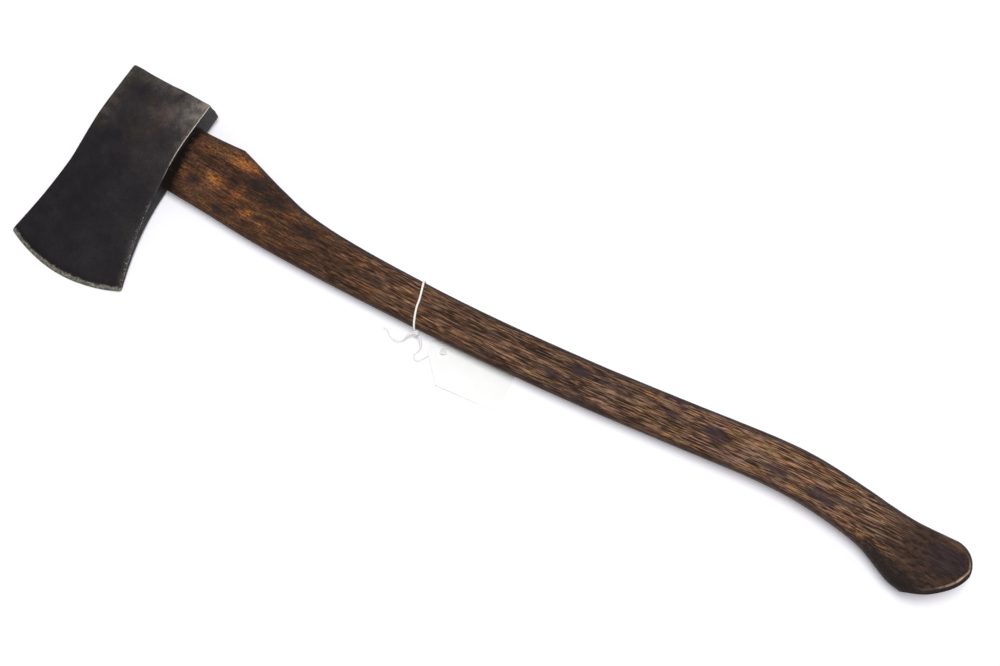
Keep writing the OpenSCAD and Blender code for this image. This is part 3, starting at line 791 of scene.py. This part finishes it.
# Places on the shoulder where the finish is worn through to orange wood
WORN_SPOTS = (
    (94, 21, 27, 14, 1.15), (78, -4, 20, 11, 0.95), (47, -8, 13, 9, 0.75), (101, -9, 16, 17, 0.8),
    (118, -16, 14, 10, 0.8), (153, 0, 15, 7, 0.7), (137, -19, 15, 8, 0.7), (60, 16, 16, 10, 0.6))
# Dark stains between them
STAINS = (
    (61, -13, 12, 11, 0.9), (114, 10, 18, 11, 1.1), (134, 4, 26, 11, 0.9), (93, -25, 15, 8, 1.1),
    (130, -15, 13, 6, 0.8), (176, -6, 30, 9, 0.7))
# Violet-grey stains along the shaft and the grip
DARK_SPOTS = (
    (436, 3, 20, 9, 1), (468, 5, 28, 7, 0.8), (560, 11, 17, 9, 1.3), (521, 9, 14, 6, 0.9),
    (616, 9, 20, 7, 1.1), (657, 7, 24, 6, 1.1), (664, 12, 40, 5, 0.9), (416, -10, 20, 8, 0.8),
    (748, 20, 14, 7, 0.8), (450, -17, 34, 5, 0.8), (300, 14, 26, 7, 0.6), (245, -12, 24, 7, 0.6),
    (352, -6, 24, 7, 0.5))
# Golden places between them
GOLD_SPOTS = (
    (500, 13, 28, 4, 1), (521, -8, 13, 6, 0.9), (672, 35, 30, 6, 1.1), (640, 30, 26, 6, 0.7),
    (696, -4, 30, 7, 0.9), (590, 24, 26, 5, 0.7), (380, 8, 28, 5, 0.7), (270, 4, 22, 5, 0.6),
    (470, -8, 22, 5, 0.6))
# Painted shade on the knob's heel, where it comes over the upper side
HEEL_SHADE_SPOTS = ((721, -15, 26, 11, 1), (745, -21, 22, 11, 1))
# The brightest places of the painted highlight along the knob's rim
RIM_HIGHLIGHT_SPOTS = ((781, 3, 7, 7, 0.9), (783, 15, 7, 7, 0.9))
# Patches of the wood: their spots, and the strength at which they are whole
PATCH_START = 0.1
PATCHES = dict(
    worn=(WORN_SPOTS, 1.15), stain=(STAINS, 1.15), dark=(DARK_SPOTS, 0.95), gold=(GOLD_SPOTS, 1.25))

# Noises of the wood: sizes along, across and through the grain in millimetres, detail, roughness, shift
WOOD_NOISES = dict(
    fleck=((9, 0.75, 0.75), 1.5, 0.5, (5, 5, 5)), streak=((32, 1.0, 1.0), 2, 0.5, (9, 1, 1)),
    blotch=((19, 8, 8), 3, 0.55, (3, 7, 1)), cloud=((90, 18, 14), 2, 0.5),
    ragged=((8, 3.5, 3.5), 3, 0.6, (1, 1, 9)), speckle=((2.2, 1.5, 1.5), 2, 0.6, (3, 3, 8)),
    pore=((15, 0.7, 0.7), 2, 0.5, (4, 6, 8)), fibre=((20, 0.7, 0.7), 2, 0.5, (6, 1, 2)),
    violet=((28, 9, 9), 2, 0.5, (7, 3, 3)), olive=((22, 7, 7), 2, 0.5, (2, 8, 4)),
    red=((16, 5, 5), 2, 0.5, (6, 6, 1)), wave=((30, 5, 5), 2))
# Noises of the knob and of the end grain: one size, or the sizes in x, y and z
KNOB_NOISES = dict(
    mottle=((7, 3.6, 7), 4, 0.75, (1, 6, 2)), rub=(8, 2, 0.5), end_pore=(0.7, 2),
    year=((14, 1.3, 9), 2, 0.5, (4, 9, 2), 0.3))

# Tone: the shoulder's, how much it rises from one x to another, and how much darker the throat is
TONE_BASE = 0.345
TONE_RISES = ((190, 430, 0.055), (430, 540, 0.14), (560, 620, 0.03), (640, 700, -0.1))
THROAT_AT, THROAT_SIZE, THROAT_TONE = (160, 0, 0), 90, -0.075
WOOD_RAMP = (
    (0, (30, 18, 14)), (0.3, (65, 40, 28)), (0.5, (91, 61, 44)), (0.7, (123, 87, 63)),
    (1, (176, 134, 102)))
# Along x the grain opens, the shoulder being polished, the dirt and painted shade by the head end, and the
# knob's dark top and the painted shade on its heel start
OPENS, GRIME_AND_SHADE_ENDS, KNOB_DARKENS, HEEL_SHADE_STARTS = (70, 560), (41, 51), (704, 742), (690, 716)
PURPLE_AT, PURPLE_SIZE = (766, 11, 11), (30, 22, 60)
PALE_CORNER_AT, PALE_CORNER_SIZE = (768, 29, 13), (30, 12, 16)
# The painted highlight along the knob's rim, by how far in from the rim it starts, is whole, wanes and ends
RIM_HIGHLIGHT_LINE = 2.7, 3.5, 4.2, 5.3
# Colours of the wood, as they look on a screen
PORE_BROWN, FIBRE_PALE = (27, 18, 16), (178, 144, 116)
DARK_FILM, STAIN_FILM = (70, 56, 58), (45, 36, 36)
# Dirt colours darkened with painted shade by the head and on the back and belly sides; painted shade alone
# on the heel
HEAD_GRIME_AND_SHADE, BACK_GRIME_AND_SHADE, BELLY_GRIME_AND_SHADE, HEEL_SHADE = (9, 6, 6), (40, 34, 35), (42, 27, 23), (28, 21, 20)
KNOB_DARK, KNOB_LIGHT, KNOB_PURPLE = (24, 17, 18), (70, 49, 39), (36, 27, 34)
# The knob's pale corner, the painted shade on its rim's rounding and the painted highlight along the rim
CORNER_PALE, RIM_SHADE, RIM_HIGHLIGHT = (104, 78, 54), (36, 27, 26), (196, 164, 142)
END_DARK, END_LIGHT, END_PORE = (58, 40, 32), (84, 61, 47), (32, 23, 20)


def wood_places(s):
    """What the wood's masks are made from: the place, the way it faces, the noises and the patches."""
    w = s.noises(s.attribute("grain"), WOOD_NOISES)
    w.place = s.attribute("place")
    w.x, w.y, _ = s.split(w.place)
    w.face_x, w.face_y, w.face_z = s.split(s.attribute("facing"))
    w.rim = s.attribute("rim", "Fac")
    w.knob = s.noises(w.place, KNOB_NOISES)
    w.opened = s.step(w.x, *OPENS)
    w.edge = s.add(s.swing(w.ragged, 1.7), s.swing(w.fleck, 1.6))
    for name, (table, whole) in PATCHES.items():
        setattr(w, name, s.step(s.add(s.spots(w.place, table), w.edge), PATCH_START, whole))
    return w


def wood_tone(s, w):
    """How light the wood is: clouds, short flecks and longer streaks along the grain, and the patches."""
    tone = s.mul(s.spot(w.place, THROAT_AT, THROAT_SIZE), THROAT_TONE)
    tone = s.add(tone, TONE_BASE, *(s.step(w.x, start, end, 0, rise) for start, end, rise in TONE_RISES))
    streak_weight = s.add(s.step(w.opened, 0, 0.4, 0.35, 1.6), s.step(w.opened, 0.4, 1, 0, 0.7))
    for part, weight in ((w.fleck, s.step(w.opened, 0, 0.3, 1.0, 2.3)), (w.streak, streak_weight),
                         (w.blotch, s.step(w.opened, 0, 1, 0.75, 0.7)), (w.cloud, 0.6),
                         (w.speckle, s.step(w.opened, 0.02, 0.3, 0.95, 0.2))):
        tone = s.add(tone, s.swing(part, weight))
    for patch, change in ((w.worn, 0.26), (w.stain, -0.27), (w.gold, 0.1), (w.dark, -0.2)):
        tone = s.add(tone, s.mul(patch, change))
    return tone


def wood_hue(s, w, colour):
    """Orange where worn, violet-grey in the stains, and slow drifts of red, olive and violet elsewhere."""
    violet = s.mul(s.step(w.violet, 0.48, 0.62), s.step(w.opened, 0, 1, 0.4, 1.0))
    for factor, tint in ((violet, (0.8, 0.84, 1.15)), (s.step(w.olive, 0.48, 0.62), (0.95, 1.03, 0.8)),
                         (s.step(w.x, 420, 90), (1.04, 0.96, 0.78)),
                         (s.step(w.red, 0.52, 0.66), (1.07, 0.94, 0.9)),
                         (w.worn, (1.35, 1.0, 0.5)), (w.stain, (0.84, 0.92, 1.1)),
                         (w.gold, (1.12, 1.02, 0.7)), (w.dark, (0.88, 0.9, 1.2))):
        colour = s.tinted(colour, factor, tint)
    return colour


def wood_pores(s, w, colour):
    """Thin dark pores, pale fibres towards the grip, and a film over the stains that closes the grain."""
    pores = s.mul(s.step(w.pore, 0.54, 0.62), s.step(w.opened, 0, 0.9, 0.25, 0.88))
    colour = s.mix(pores, colour, PORE_BROWN)
    clean = s.step(s.largest(w.dark, w.stain), 0, 1, 1.0, 0.25)
    fibres = s.mul(s.step(w.fibre, 0.55, 0.66), s.step(w.opened, 0, 1, 0.12, 0.6), clean)
    colour = s.mix(fibres, colour, FIBRE_PALE)
    colour = s.mix(s.mul(w.dark, 0.5), colour, DARK_FILM)
    return s.mix(s.mul(w.stain, 0.4), colour, STAIN_FILM)


def head_grime_and_shade(s, w):
    """1 on the wood against the head, with a ragged end: dirt with painted shade in the crevice under the
    head.
    """
    ragged_x = s.add(w.x, s.swing(w.ragged, 12), s.step(w.y, -32, 20, -3, 2))
    return s.step(ragged_x, *GRIME_AND_SHADE_ENDS, 1.0, 0.0)


def side_grime_and_shade(s, w, colour):
    """Dirt and painted shade along the back and the belly sides, where they face away from the top."""
    back_side = s.mul(s.step(w.face_y, 0.42, 0.8), s.step(w.x, 84, 130, 0.4, 0.85))
    belly_side = s.mul(s.step(w.face_y, -0.35, -0.85), s.step(w.x, 90, 260, 0.15, 0.75))
    return s.mix(belly_side, s.mix(back_side, colour, BACK_GRIME_AND_SHADE), BELLY_GRIME_AND_SHADE)


def knob_mottle_and_heel_shade(s, w, colour):
    """The knob's mottled dark top, with a purple patch, and painted shade over its hollow heel."""
    purple = s.step(s.add(s.spot(w.place, PURPLE_AT, PURPLE_SIZE), s.mul(w.edge, 0.5)), 0.15, 0.6)
    knob_colour = s.mix(s.step(w.knob.mottle, 0.38, 0.62), KNOB_DARK, KNOB_LIGHT)
    knob_colour = s.mix(s.mul(purple, 0.8), knob_colour, KNOB_PURPLE)
    knob = s.step(s.add(w.x, s.mul(w.y, 0.1), s.swing(w.blotch, 50)), *KNOB_DARKENS)
    colour = s.mix(s.mul(knob, 0.92), colour, knob_colour)
    # Painted shade on the heel's belly side and where the heel comes over the upper side
    heel = s.mul(s.step(w.face_y, -0.12, -0.45), s.step(w.x, *HEEL_SHADE_STARTS))
    heel_shade_top = s.step(s.add(s.spots(w.place, HEEL_SHADE_SPOTS), s.mul(w.edge, 0.5)), 0.1, 0.6)
    return s.mix(s.mul(s.largest(heel, s.mul(heel_shade_top, 0.8)), 0.9), colour, HEEL_SHADE)


def knob_rim(s, w, colour):
    """The knob is pale brown by its back corner, with painted shade where its rim rounds down and a painted
    highlight along the rim.
    """
    corner = s.step(s.add(s.spot(w.place, PALE_CORNER_AT, PALE_CORNER_SIZE), w.edge), 0.25, 1.0)
    colour = s.mix(s.mul(corner, 0.6), colour, CORNER_PALE)
    # Painted shade on the rounding of the rim
    colour = s.mix(s.mul(s.step(w.rim, 4.0, 2.8), s.step(w.y, 30, 22), 0.85), colour, RIM_SHADE)
    # Painted highlight just inside the rounding, broken by noise, on the upper side
    rim_highlight = s.mul(s.band(w.rim, *RIM_HIGHLIGHT_LINE), s.step(w.knob.rub, 0.36, 0.6, 0.12, 0.8))
    rim_highlight = s.math("MINIMUM", 1.0, s.mul(rim_highlight, s.add(0.7, s.spots(w.place, RIM_HIGHLIGHT_SPOTS))))
    middle = s.step(s.math("ABSOLUTE", s.add(w.y, -3)), 4, 20, 1.0, 0.5)
    upper = s.mul(s.step(w.face_z, 0.1, 0.4), s.step(w.y, 27, 20))
    return s.mix(s.mul(rim_highlight, middle, s.step(w.y, -22, -17), upper, 0.9), colour, RIM_HIGHLIGHT)


def end_grain(s, w, colour):
    """End grain on the tongue's end, in the eye, and on the knob's end, which is cut at a slant."""
    slant = s.add(s.mul(w.face_x, KNOB_END_FACES[0]), s.mul(w.face_y, KNOB_END_FACES[1]))
    knob_end = s.mul(s.step(slant, 0.6, 0.82), s.step(s.math("ABSOLUTE", w.face_z), 0.55, 0.3))
    end = s.largest(s.step(w.face_x, -0.86, -0.97), knob_end)
    end_colour = s.mix(s.step(w.knob.year, 0.4, 0.62), END_DARK, END_LIGHT)
    end_colour = s.mix(s.mul(s.step(w.knob.end_pore, 0.5, 0.65), 0.7), end_colour, END_PORE)
    return s.mix(s.mul(end, 0.92), colour, end_colour)


def wood_material():
    s = new_material("old_hickory")
    w = wood_places(s)
    tone = wood_tone(s, w)
    colour = wood_hue(s, w, s.ramp(tone, WOOD_RAMP))
    colour = wood_pores(s, w, colour)
    grime_and_shade = head_grime_and_shade(s, w)
    # Dirt and painted shade in the crevice against the head, near black, and duller there
    colour = s.mix(s.mul(grime_and_shade, 0.96), colour, HEAD_GRIME_AND_SHADE)
    for layer in (side_grime_and_shade, knob_mottle_and_heel_shade, knob_rim, end_grain):
        colour = layer(s, w, colour)
    normal = s.bump(s.add(w.fleck, s.mul(w.streak, w.opened)), 0.7)
    normal = s.bump(s.mul(w.pore, -1.0), 0.5, normal)
    normal = s.bump(w.wave, 0.4, normal)
    return s.finish(Base_Color=colour, Normal=normal, Specular_IOR_Level=0.14,
                    Roughness=s.largest(s.step(tone, 0.1, 0.9, 0.66, 0.5), grime_and_shade))


# Soft dark patches on the poll half of the cheek
HEAD_PATCHES = ((-20, 33, 20, 13, 0.9), (12, 42, 17, 11, 0.8), (-24, -14, 16, 14, 0.5))
# Dirt and painted shade on the underside where the handle enters, more by its belly
WALL_DIRT_AND_SHADE_SPOTS = ((43, 31, 12, 13, 0.6), (40, -40, 14, 16, 0.9), (40, -64, 14, 30, 0.3))
# A pale place by the top of the eye
EYE_WEAR_AT, EYE_WEAR_SIZE = (-36, 2, 12), (16, 26, THROUGH)

# Noises of the steel: one size or three in millimetres, detail, roughness, shift
STEEL_NOISES = dict(
    cloud=(30, 3, 0.55), mottle=(8, 4, 0.65, (3, 1, 2)), sand=(1, 3, 0.7, (5, 2, 1)),
    warm=(16, 2, 0.5, (4, 4, 1)), olive=(20, 2, 0.5, (1, 9, 1)), fine=(1.6, 3, 0.65, (2, 2, 2)),
    patchy=(8, 3, 0.6, (6, 2, 2)), ragged=(4, 4, 0.7, (8, 1, 1)), grit=(1.8, 3, 0.65), dent=(9, 3, 0.6),
    brushed=((60, 0.6, 20), 2, 0.6))
STEEL_RAMP = (
    (0, (14, 13, 15)), (0.32, (31, 29, 33)), (0.5, (48, 44, 45)), (0.7, (82, 76, 73)),
    (1, (132, 125, 118)))
# The patina's tone on the blade, and how much lighter it is on the poll's half
BLADE_TONE, POLL_LIGHTER = 0.345, 0.115
# Colours of the steel, as they look on a screen
# The underside wall's colour is painted shade with dirt
LINE_BRIGHT, EDGE_SHINE, UNDERSIDE_SHADE_AND_DIRT = (170, 164, 155), (104, 100, 95), (17, 15, 16)
BAND_DARK, BAND_LIGHT, BAND_DOTS, BURNT = (86, 84, 76), (136, 133, 120), (176, 174, 160), (24, 20, 19)


def steel_places(s):
    """What the steel's masks are made from: the place, distances to the edges, and the noises."""
    place = s.attribute("place")
    m = s.noises(place, STEEL_NOISES)
    m.place = place
    m.x, m.y, _ = s.split(place)
    m.under, m.bit, m.depth = s.split(s.attribute("marks"))
    m.top = s.attribute("top_edge", "Fac")
    # 1 on the cheeks, 0 on the walls round them
    m.flat = s.math("ABSOLUTE", s.split(s.attribute("facing"))[2])
    m.poll_half = s.step(s.add(m.y, s.swing(m.cloud, 60)), -50, 20)
    return m


def steel_wear(s, m):
    """How much the patina is worn: at the poll, its lower corner, the long edges, the heel and the eye."""
    return s.largest(s.mul(s.step(m.y, 38, 52), 0.2),
                     s.mul(s.step(m.y, -5, 52), s.step(m.under, 44, 0), 0.42),
                     s.mul(s.step(m.under, 10, 0), s.step(m.y, -20, 40, 0.03, 0.34)),
                     s.mul(s.step(m.under, 9, 0), s.step(m.y, -55, -100, 0, 0.26)),
                     s.mul(s.step(m.top, 12, 0), s.step(m.y, -70, 30, 0.03, 0.17)),
                     s.mul(s.spot(m.place, EYE_WEAR_AT, EYE_WEAR_SIZE), 0.16))


def patina(s, m):
    """The dark forge patina, lighter on the poll's half and where it is worn."""
    tone = s.add(BLADE_TONE, s.mul(m.poll_half, POLL_LIGHTER))
    for part, weight in ((m.cloud, s.step(m.poll_half, 0, 1, 0.3, 0.42)),
                         (m.mottle, s.step(m.poll_half, 0, 1, 0.16, 0.24)), (m.sand, 0.42)):
        tone = s.add(tone, s.swing(part, weight))
    wear = steel_wear(s, m)
    patches = s.mul(s.step(m.mottle, 0.36, 0.62, 0.6, 1.0), s.step(m.flat, 0.3, 0.85, 0.35, 1.0))
    tone = s.add(tone, s.mul(wear, patches), s.mul(s.spots(m.place, HEAD_PATCHES), -0.13))
    colour = s.ramp(tone, STEEL_RAMP)
    unworn = s.step(s.add(m.y, s.mul(wear, 80)), 30, 52, 1.0, 0.15)
    colour = s.tinted(colour, s.mul(m.poll_half, unworn, s.step(m.warm, 0.42, 0.62)), (1.16, 0.97, 0.94))
    return s.tinted(colour, s.step(m.olive, 0.55, 0.7), (0.98, 1.06, 0.86))


def worn_line(s, m):
    """A worn line along the underside's edge: thin and bright by the poll, only specks towards the heel."""
    broken = s.step(m.patchy, s.step(m.y, -50, 0, 0.46, 0.24), s.step(m.y, -50, 0, 0.6, 0.46))
    thin = s.mul(s.band(m.under, 0.1, 0.35, 0.75, 1.05), broken, s.step(m.y, -26, 4, 0.2, 0.9))
    specks = s.mul(s.step(m.under, 5.5, 0.3), s.step(m.fine, 0.54, 0.68), s.step(m.y, -25, -80), 0.55)
    return s.mul(s.largest(thin, specks), s.step(m.depth, 2.6, 1.2), s.step(m.y, -133, -124))


def edges_and_wall_shade(s, m, colour):
    """The other long edges shine a little, and the underside wall gets painted shade, with dirt and deeper
    painted shade round the handle.
    """
    edges = s.mul(s.band(m.flat, 0.45, 0.7, 0.88, 0.97), s.step(m.patchy, 0.38, 0.6, 0.15, 0.6))
    colour = s.mix(edges, colour, EDGE_SHINE)
    # Painted shade over the underside wall, deeper with dirt in the spots round the handle
    wall = s.mul(s.step(m.flat, 0.6, 0.3), s.step(m.x, 10, 30))
    wall = s.mul(wall, s.add(0.25, s.spots(m.place, WALL_DIRT_AND_SHADE_SPOTS)))
    return s.mix(s.math("MINIMUM", wall, 0.9), colour, UNDERSIDE_SHADE_AND_DIRT)


def ground_band(s, m, colour, inward, band):
    """The band along the bit, dull at the very edge, with bright dots and a burnt strip at its boundary."""
    dots = s.mul(s.band(inward, 1.4, 2.4, 3.2, 4.0), s.step(m.fine, 0.44, 0.64),
                 s.step(m.patchy, 0.38, 0.6, 0.25, 0.9))
    band_colour = s.mix(s.step(m.grit, 0.38, 0.62), BAND_DARK, BAND_LIGHT)
    colour = s.mix(s.mul(band, 0.92), colour, s.mix(dots, band_colour, BAND_DOTS))
    return s.mix(s.mul(s.band(inward, 4.2, 5.4, 6, 11), 0.4), colour, BURNT)


def steel_material():
    s = new_material("dark_forged_steel")
    m = steel_places(s)
    line = worn_line(s, m)
    colour = s.mix(s.mul(line, 0.9), patina(s, m), LINE_BRIGHT)
    colour = edges_and_wall_shade(s, m, colour)
    # How far in from the cutting edge, with a ragged boundary
    inward = s.add(m.bit, s.swing(m.ragged, 6.0))
    band = s.step(inward, 5.0, 3.0)
    colour = ground_band(s, m, colour, inward, band)
    normal = s.bump(m.brushed, 0.03, s.bump(m.sand, 0.12, s.bump(m.dent, 0.45)))
    rough = s.add(s.step(m.mottle, 0.3, 0.7, 0.44, 0.58), s.mul(band, -0.1))
    metal = s.add(0.4, s.mul(s.largest(line, band), 0.4))
    return s.finish(Base_Color=colour, Roughness=rough, Metallic=metal, Normal=normal,
                    Specular_IOR_Level=0.12)


def wedge_wood_material():
    s = new_material("wedge_end_grain")
    mm = s.object_mm()
    pores = s.step(s.noise(mm, 0.8, 3), 0.45, 0.65)
    stripes = s.step(s.noise(mm, (3, 8, 1.2), 2), 0.4, 0.65)
    colour = s.mix(stripes, (112, 80, 54), (76, 54, 38))
    colour = s.mix(s.mul(pores, 0.7), colour, (44, 32, 25))
    return s.finish(Base_Color=colour, Roughness=0.7, Normal=s.bump(pores, 0.15), Specular_IOR_Level=0.3)


def wedge_steel_material():
    s = new_material("hammered_wedge_steel")
    mm = s.object_mm()
    rust = s.step(s.noise(mm, 3, 4, 0.65), 0.45, 0.65)
    colour = s.mix(rust, (92, 88, 86), (70, 46, 36))
    normal = s.bump(s.noise(mm, 1.5, 3), 0.3)
    return s.finish(Base_Color=colour, Roughness=s.step(rust, 0.0, 1.0, 0.4, 0.75), Metallic=0.6,
                    Normal=normal)


def cotton_material():
    s = new_material("white_cotton")
    mm = s.object_mm()
    fibres = s.noise(mm, 0.25, 3, 0.7)
    soil = s.step(s.noise(mm, 4, 2), 0.4, 0.7)
    colour = s.mix(s.mul(soil, 0.4), (250, 249, 246), (238, 235, 227))
    colour = s.mix(s.step(fibres, 0.55, 0.8, 0.0, 0.2), colour, (205, 201, 192))
    return s.finish(Base_Color=colour, Roughness=0.9, Normal=s.bump(fibres, 0.12), Sheen_Weight=0.2)


def card_material():
    s = new_material("uncoated_card")
    mm = s.object_mm()
    fibres = s.noise(mm, (0.8, 0.5, 0.8), 4, 0.7)
    cloud = s.noise(mm, 14, 3)
    colour = s.mix(s.step(cloud, 0.3, 0.7), (254, 254, 254), (251, 251, 250))
    colour = s.mix(s.step(fibres, 0.6, 0.8, 0.0, 0.3), colour, (236, 235, 232))
    return s.finish(Base_Color=colour, Roughness=0.85, Normal=s.bump(fibres, 0.05), Specular_IOR_Level=0.3)


def give(piece, material):
    piece.data.materials.clear()
    piece.data.materials.append(material)


give(handle, wood_material())
give(head, steel_material())
give(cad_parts["kerf_wedge"], wedge_wood_material())
give(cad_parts["steel_wedge"], wedge_steel_material())
cotton = cotton_material()
for cotton_piece in cotton_pieces:
    give(cotton_piece, cotton)
give(card, card_material())


# Floor, world and lamp

FLOOR_SIZE = 12.0
FLOOR_COLOUR = (243, 242, 246)
# The floor's own light, which only the camera and gloss see: little by the object, to keep its shadow
FLOOR_GLOW, GLOW_COLOUR = 0.17, (0.94, 0.93, 1.0, 1)
GLOW_RISES = 0.5, 1.5
# The world lights the object at this strength from all round, and at half of it from overhead
WORLD_LIGHT, OVERHEAD_SHARE, OVERHEAD = 0.5, 0.5, (0.35, 0.85)
SOFTBOX_AT, SOFTBOX_SIZE, SOFTBOX_POWER = (0.05, 0.2, 2.2), 1.3, 38


def seen_rays(s):
    """1 for the rays that see the white background, and 0 for those that light the object."""
    ray = s.node("LightPath", {}).outputs
    return s.largest(ray["Is Camera Ray"], ray["Is Glossy Ray"], ray["Is Transmission Ray"])


def floor_material():
    s = new_material("pale_floor")
    away = s.length(s.node("TexCoord", {}).outputs["Object"])
    strength = s.mul(seen_rays(s), s.step(away, *GLOW_RISES, FLOOR_GLOW, 1.0))
    diffuse = s.node("BsdfDiffuse", {"Color": srgb(FLOOR_COLOUR)})
    glow = s.node("Emission", {"Color": GLOW_COLOUR, "Strength": strength})
    both = s.node("AddShader", {0: diffuse.outputs[0], 1: glow.outputs[0]})
    s.node("OutputMaterial", {"Surface": both.outputs[0]})
    return s.owner


def make_floor():
    mesh = bpy.data.meshes.new("floor")
    h = FLOOR_SIZE / 2
    mesh.from_pydata([(-h, -h, 0), (h, -h, 0), (h, h, 0), (-h, h, 0)], [], [(0, 1, 2, 3)])
    floor = add_object("floor", mesh)
    give(floor, floor_material())


def make_world():
    """Plain studio light: white round the horizon, where it is the background, and dimmer overhead."""
    world = bpy.data.worlds.new("studio")
    bpy.context.scene.world = world
    s = Shader(world)
    up = s.split(s.node("TexCoord", {}).outputs["Generated"])[2]
    strength = s.mul(s.step(up, *OVERHEAD, 1.0, OVERHEAD_SHARE),
                     s.step(seen_rays(s), 0, 1, WORLD_LIGHT, 1.0))
    background = s.node("Background", {"Color": (1, 1, 1, 1), "Strength": strength})
    s.node("OutputWorld", {"Surface": background.outputs[0]})


def make_softbox():
    data = bpy.data.lights.new("softbox", "AREA")
    data.shape = "DISK"
    data.size = SOFTBOX_SIZE
    data.energy = SOFTBOX_POWER
    lamp = add_object("softbox", data)
    lamp.location = SOFTBOX_AT
    lamp.rotation_euler = (-Vector(SOFTBOX_AT)).to_track_quat("-Z", "Y").to_euler()


make_floor()
make_world()
make_softbox()

bpy.context.scene.view_settings.view_transform = "Standard"
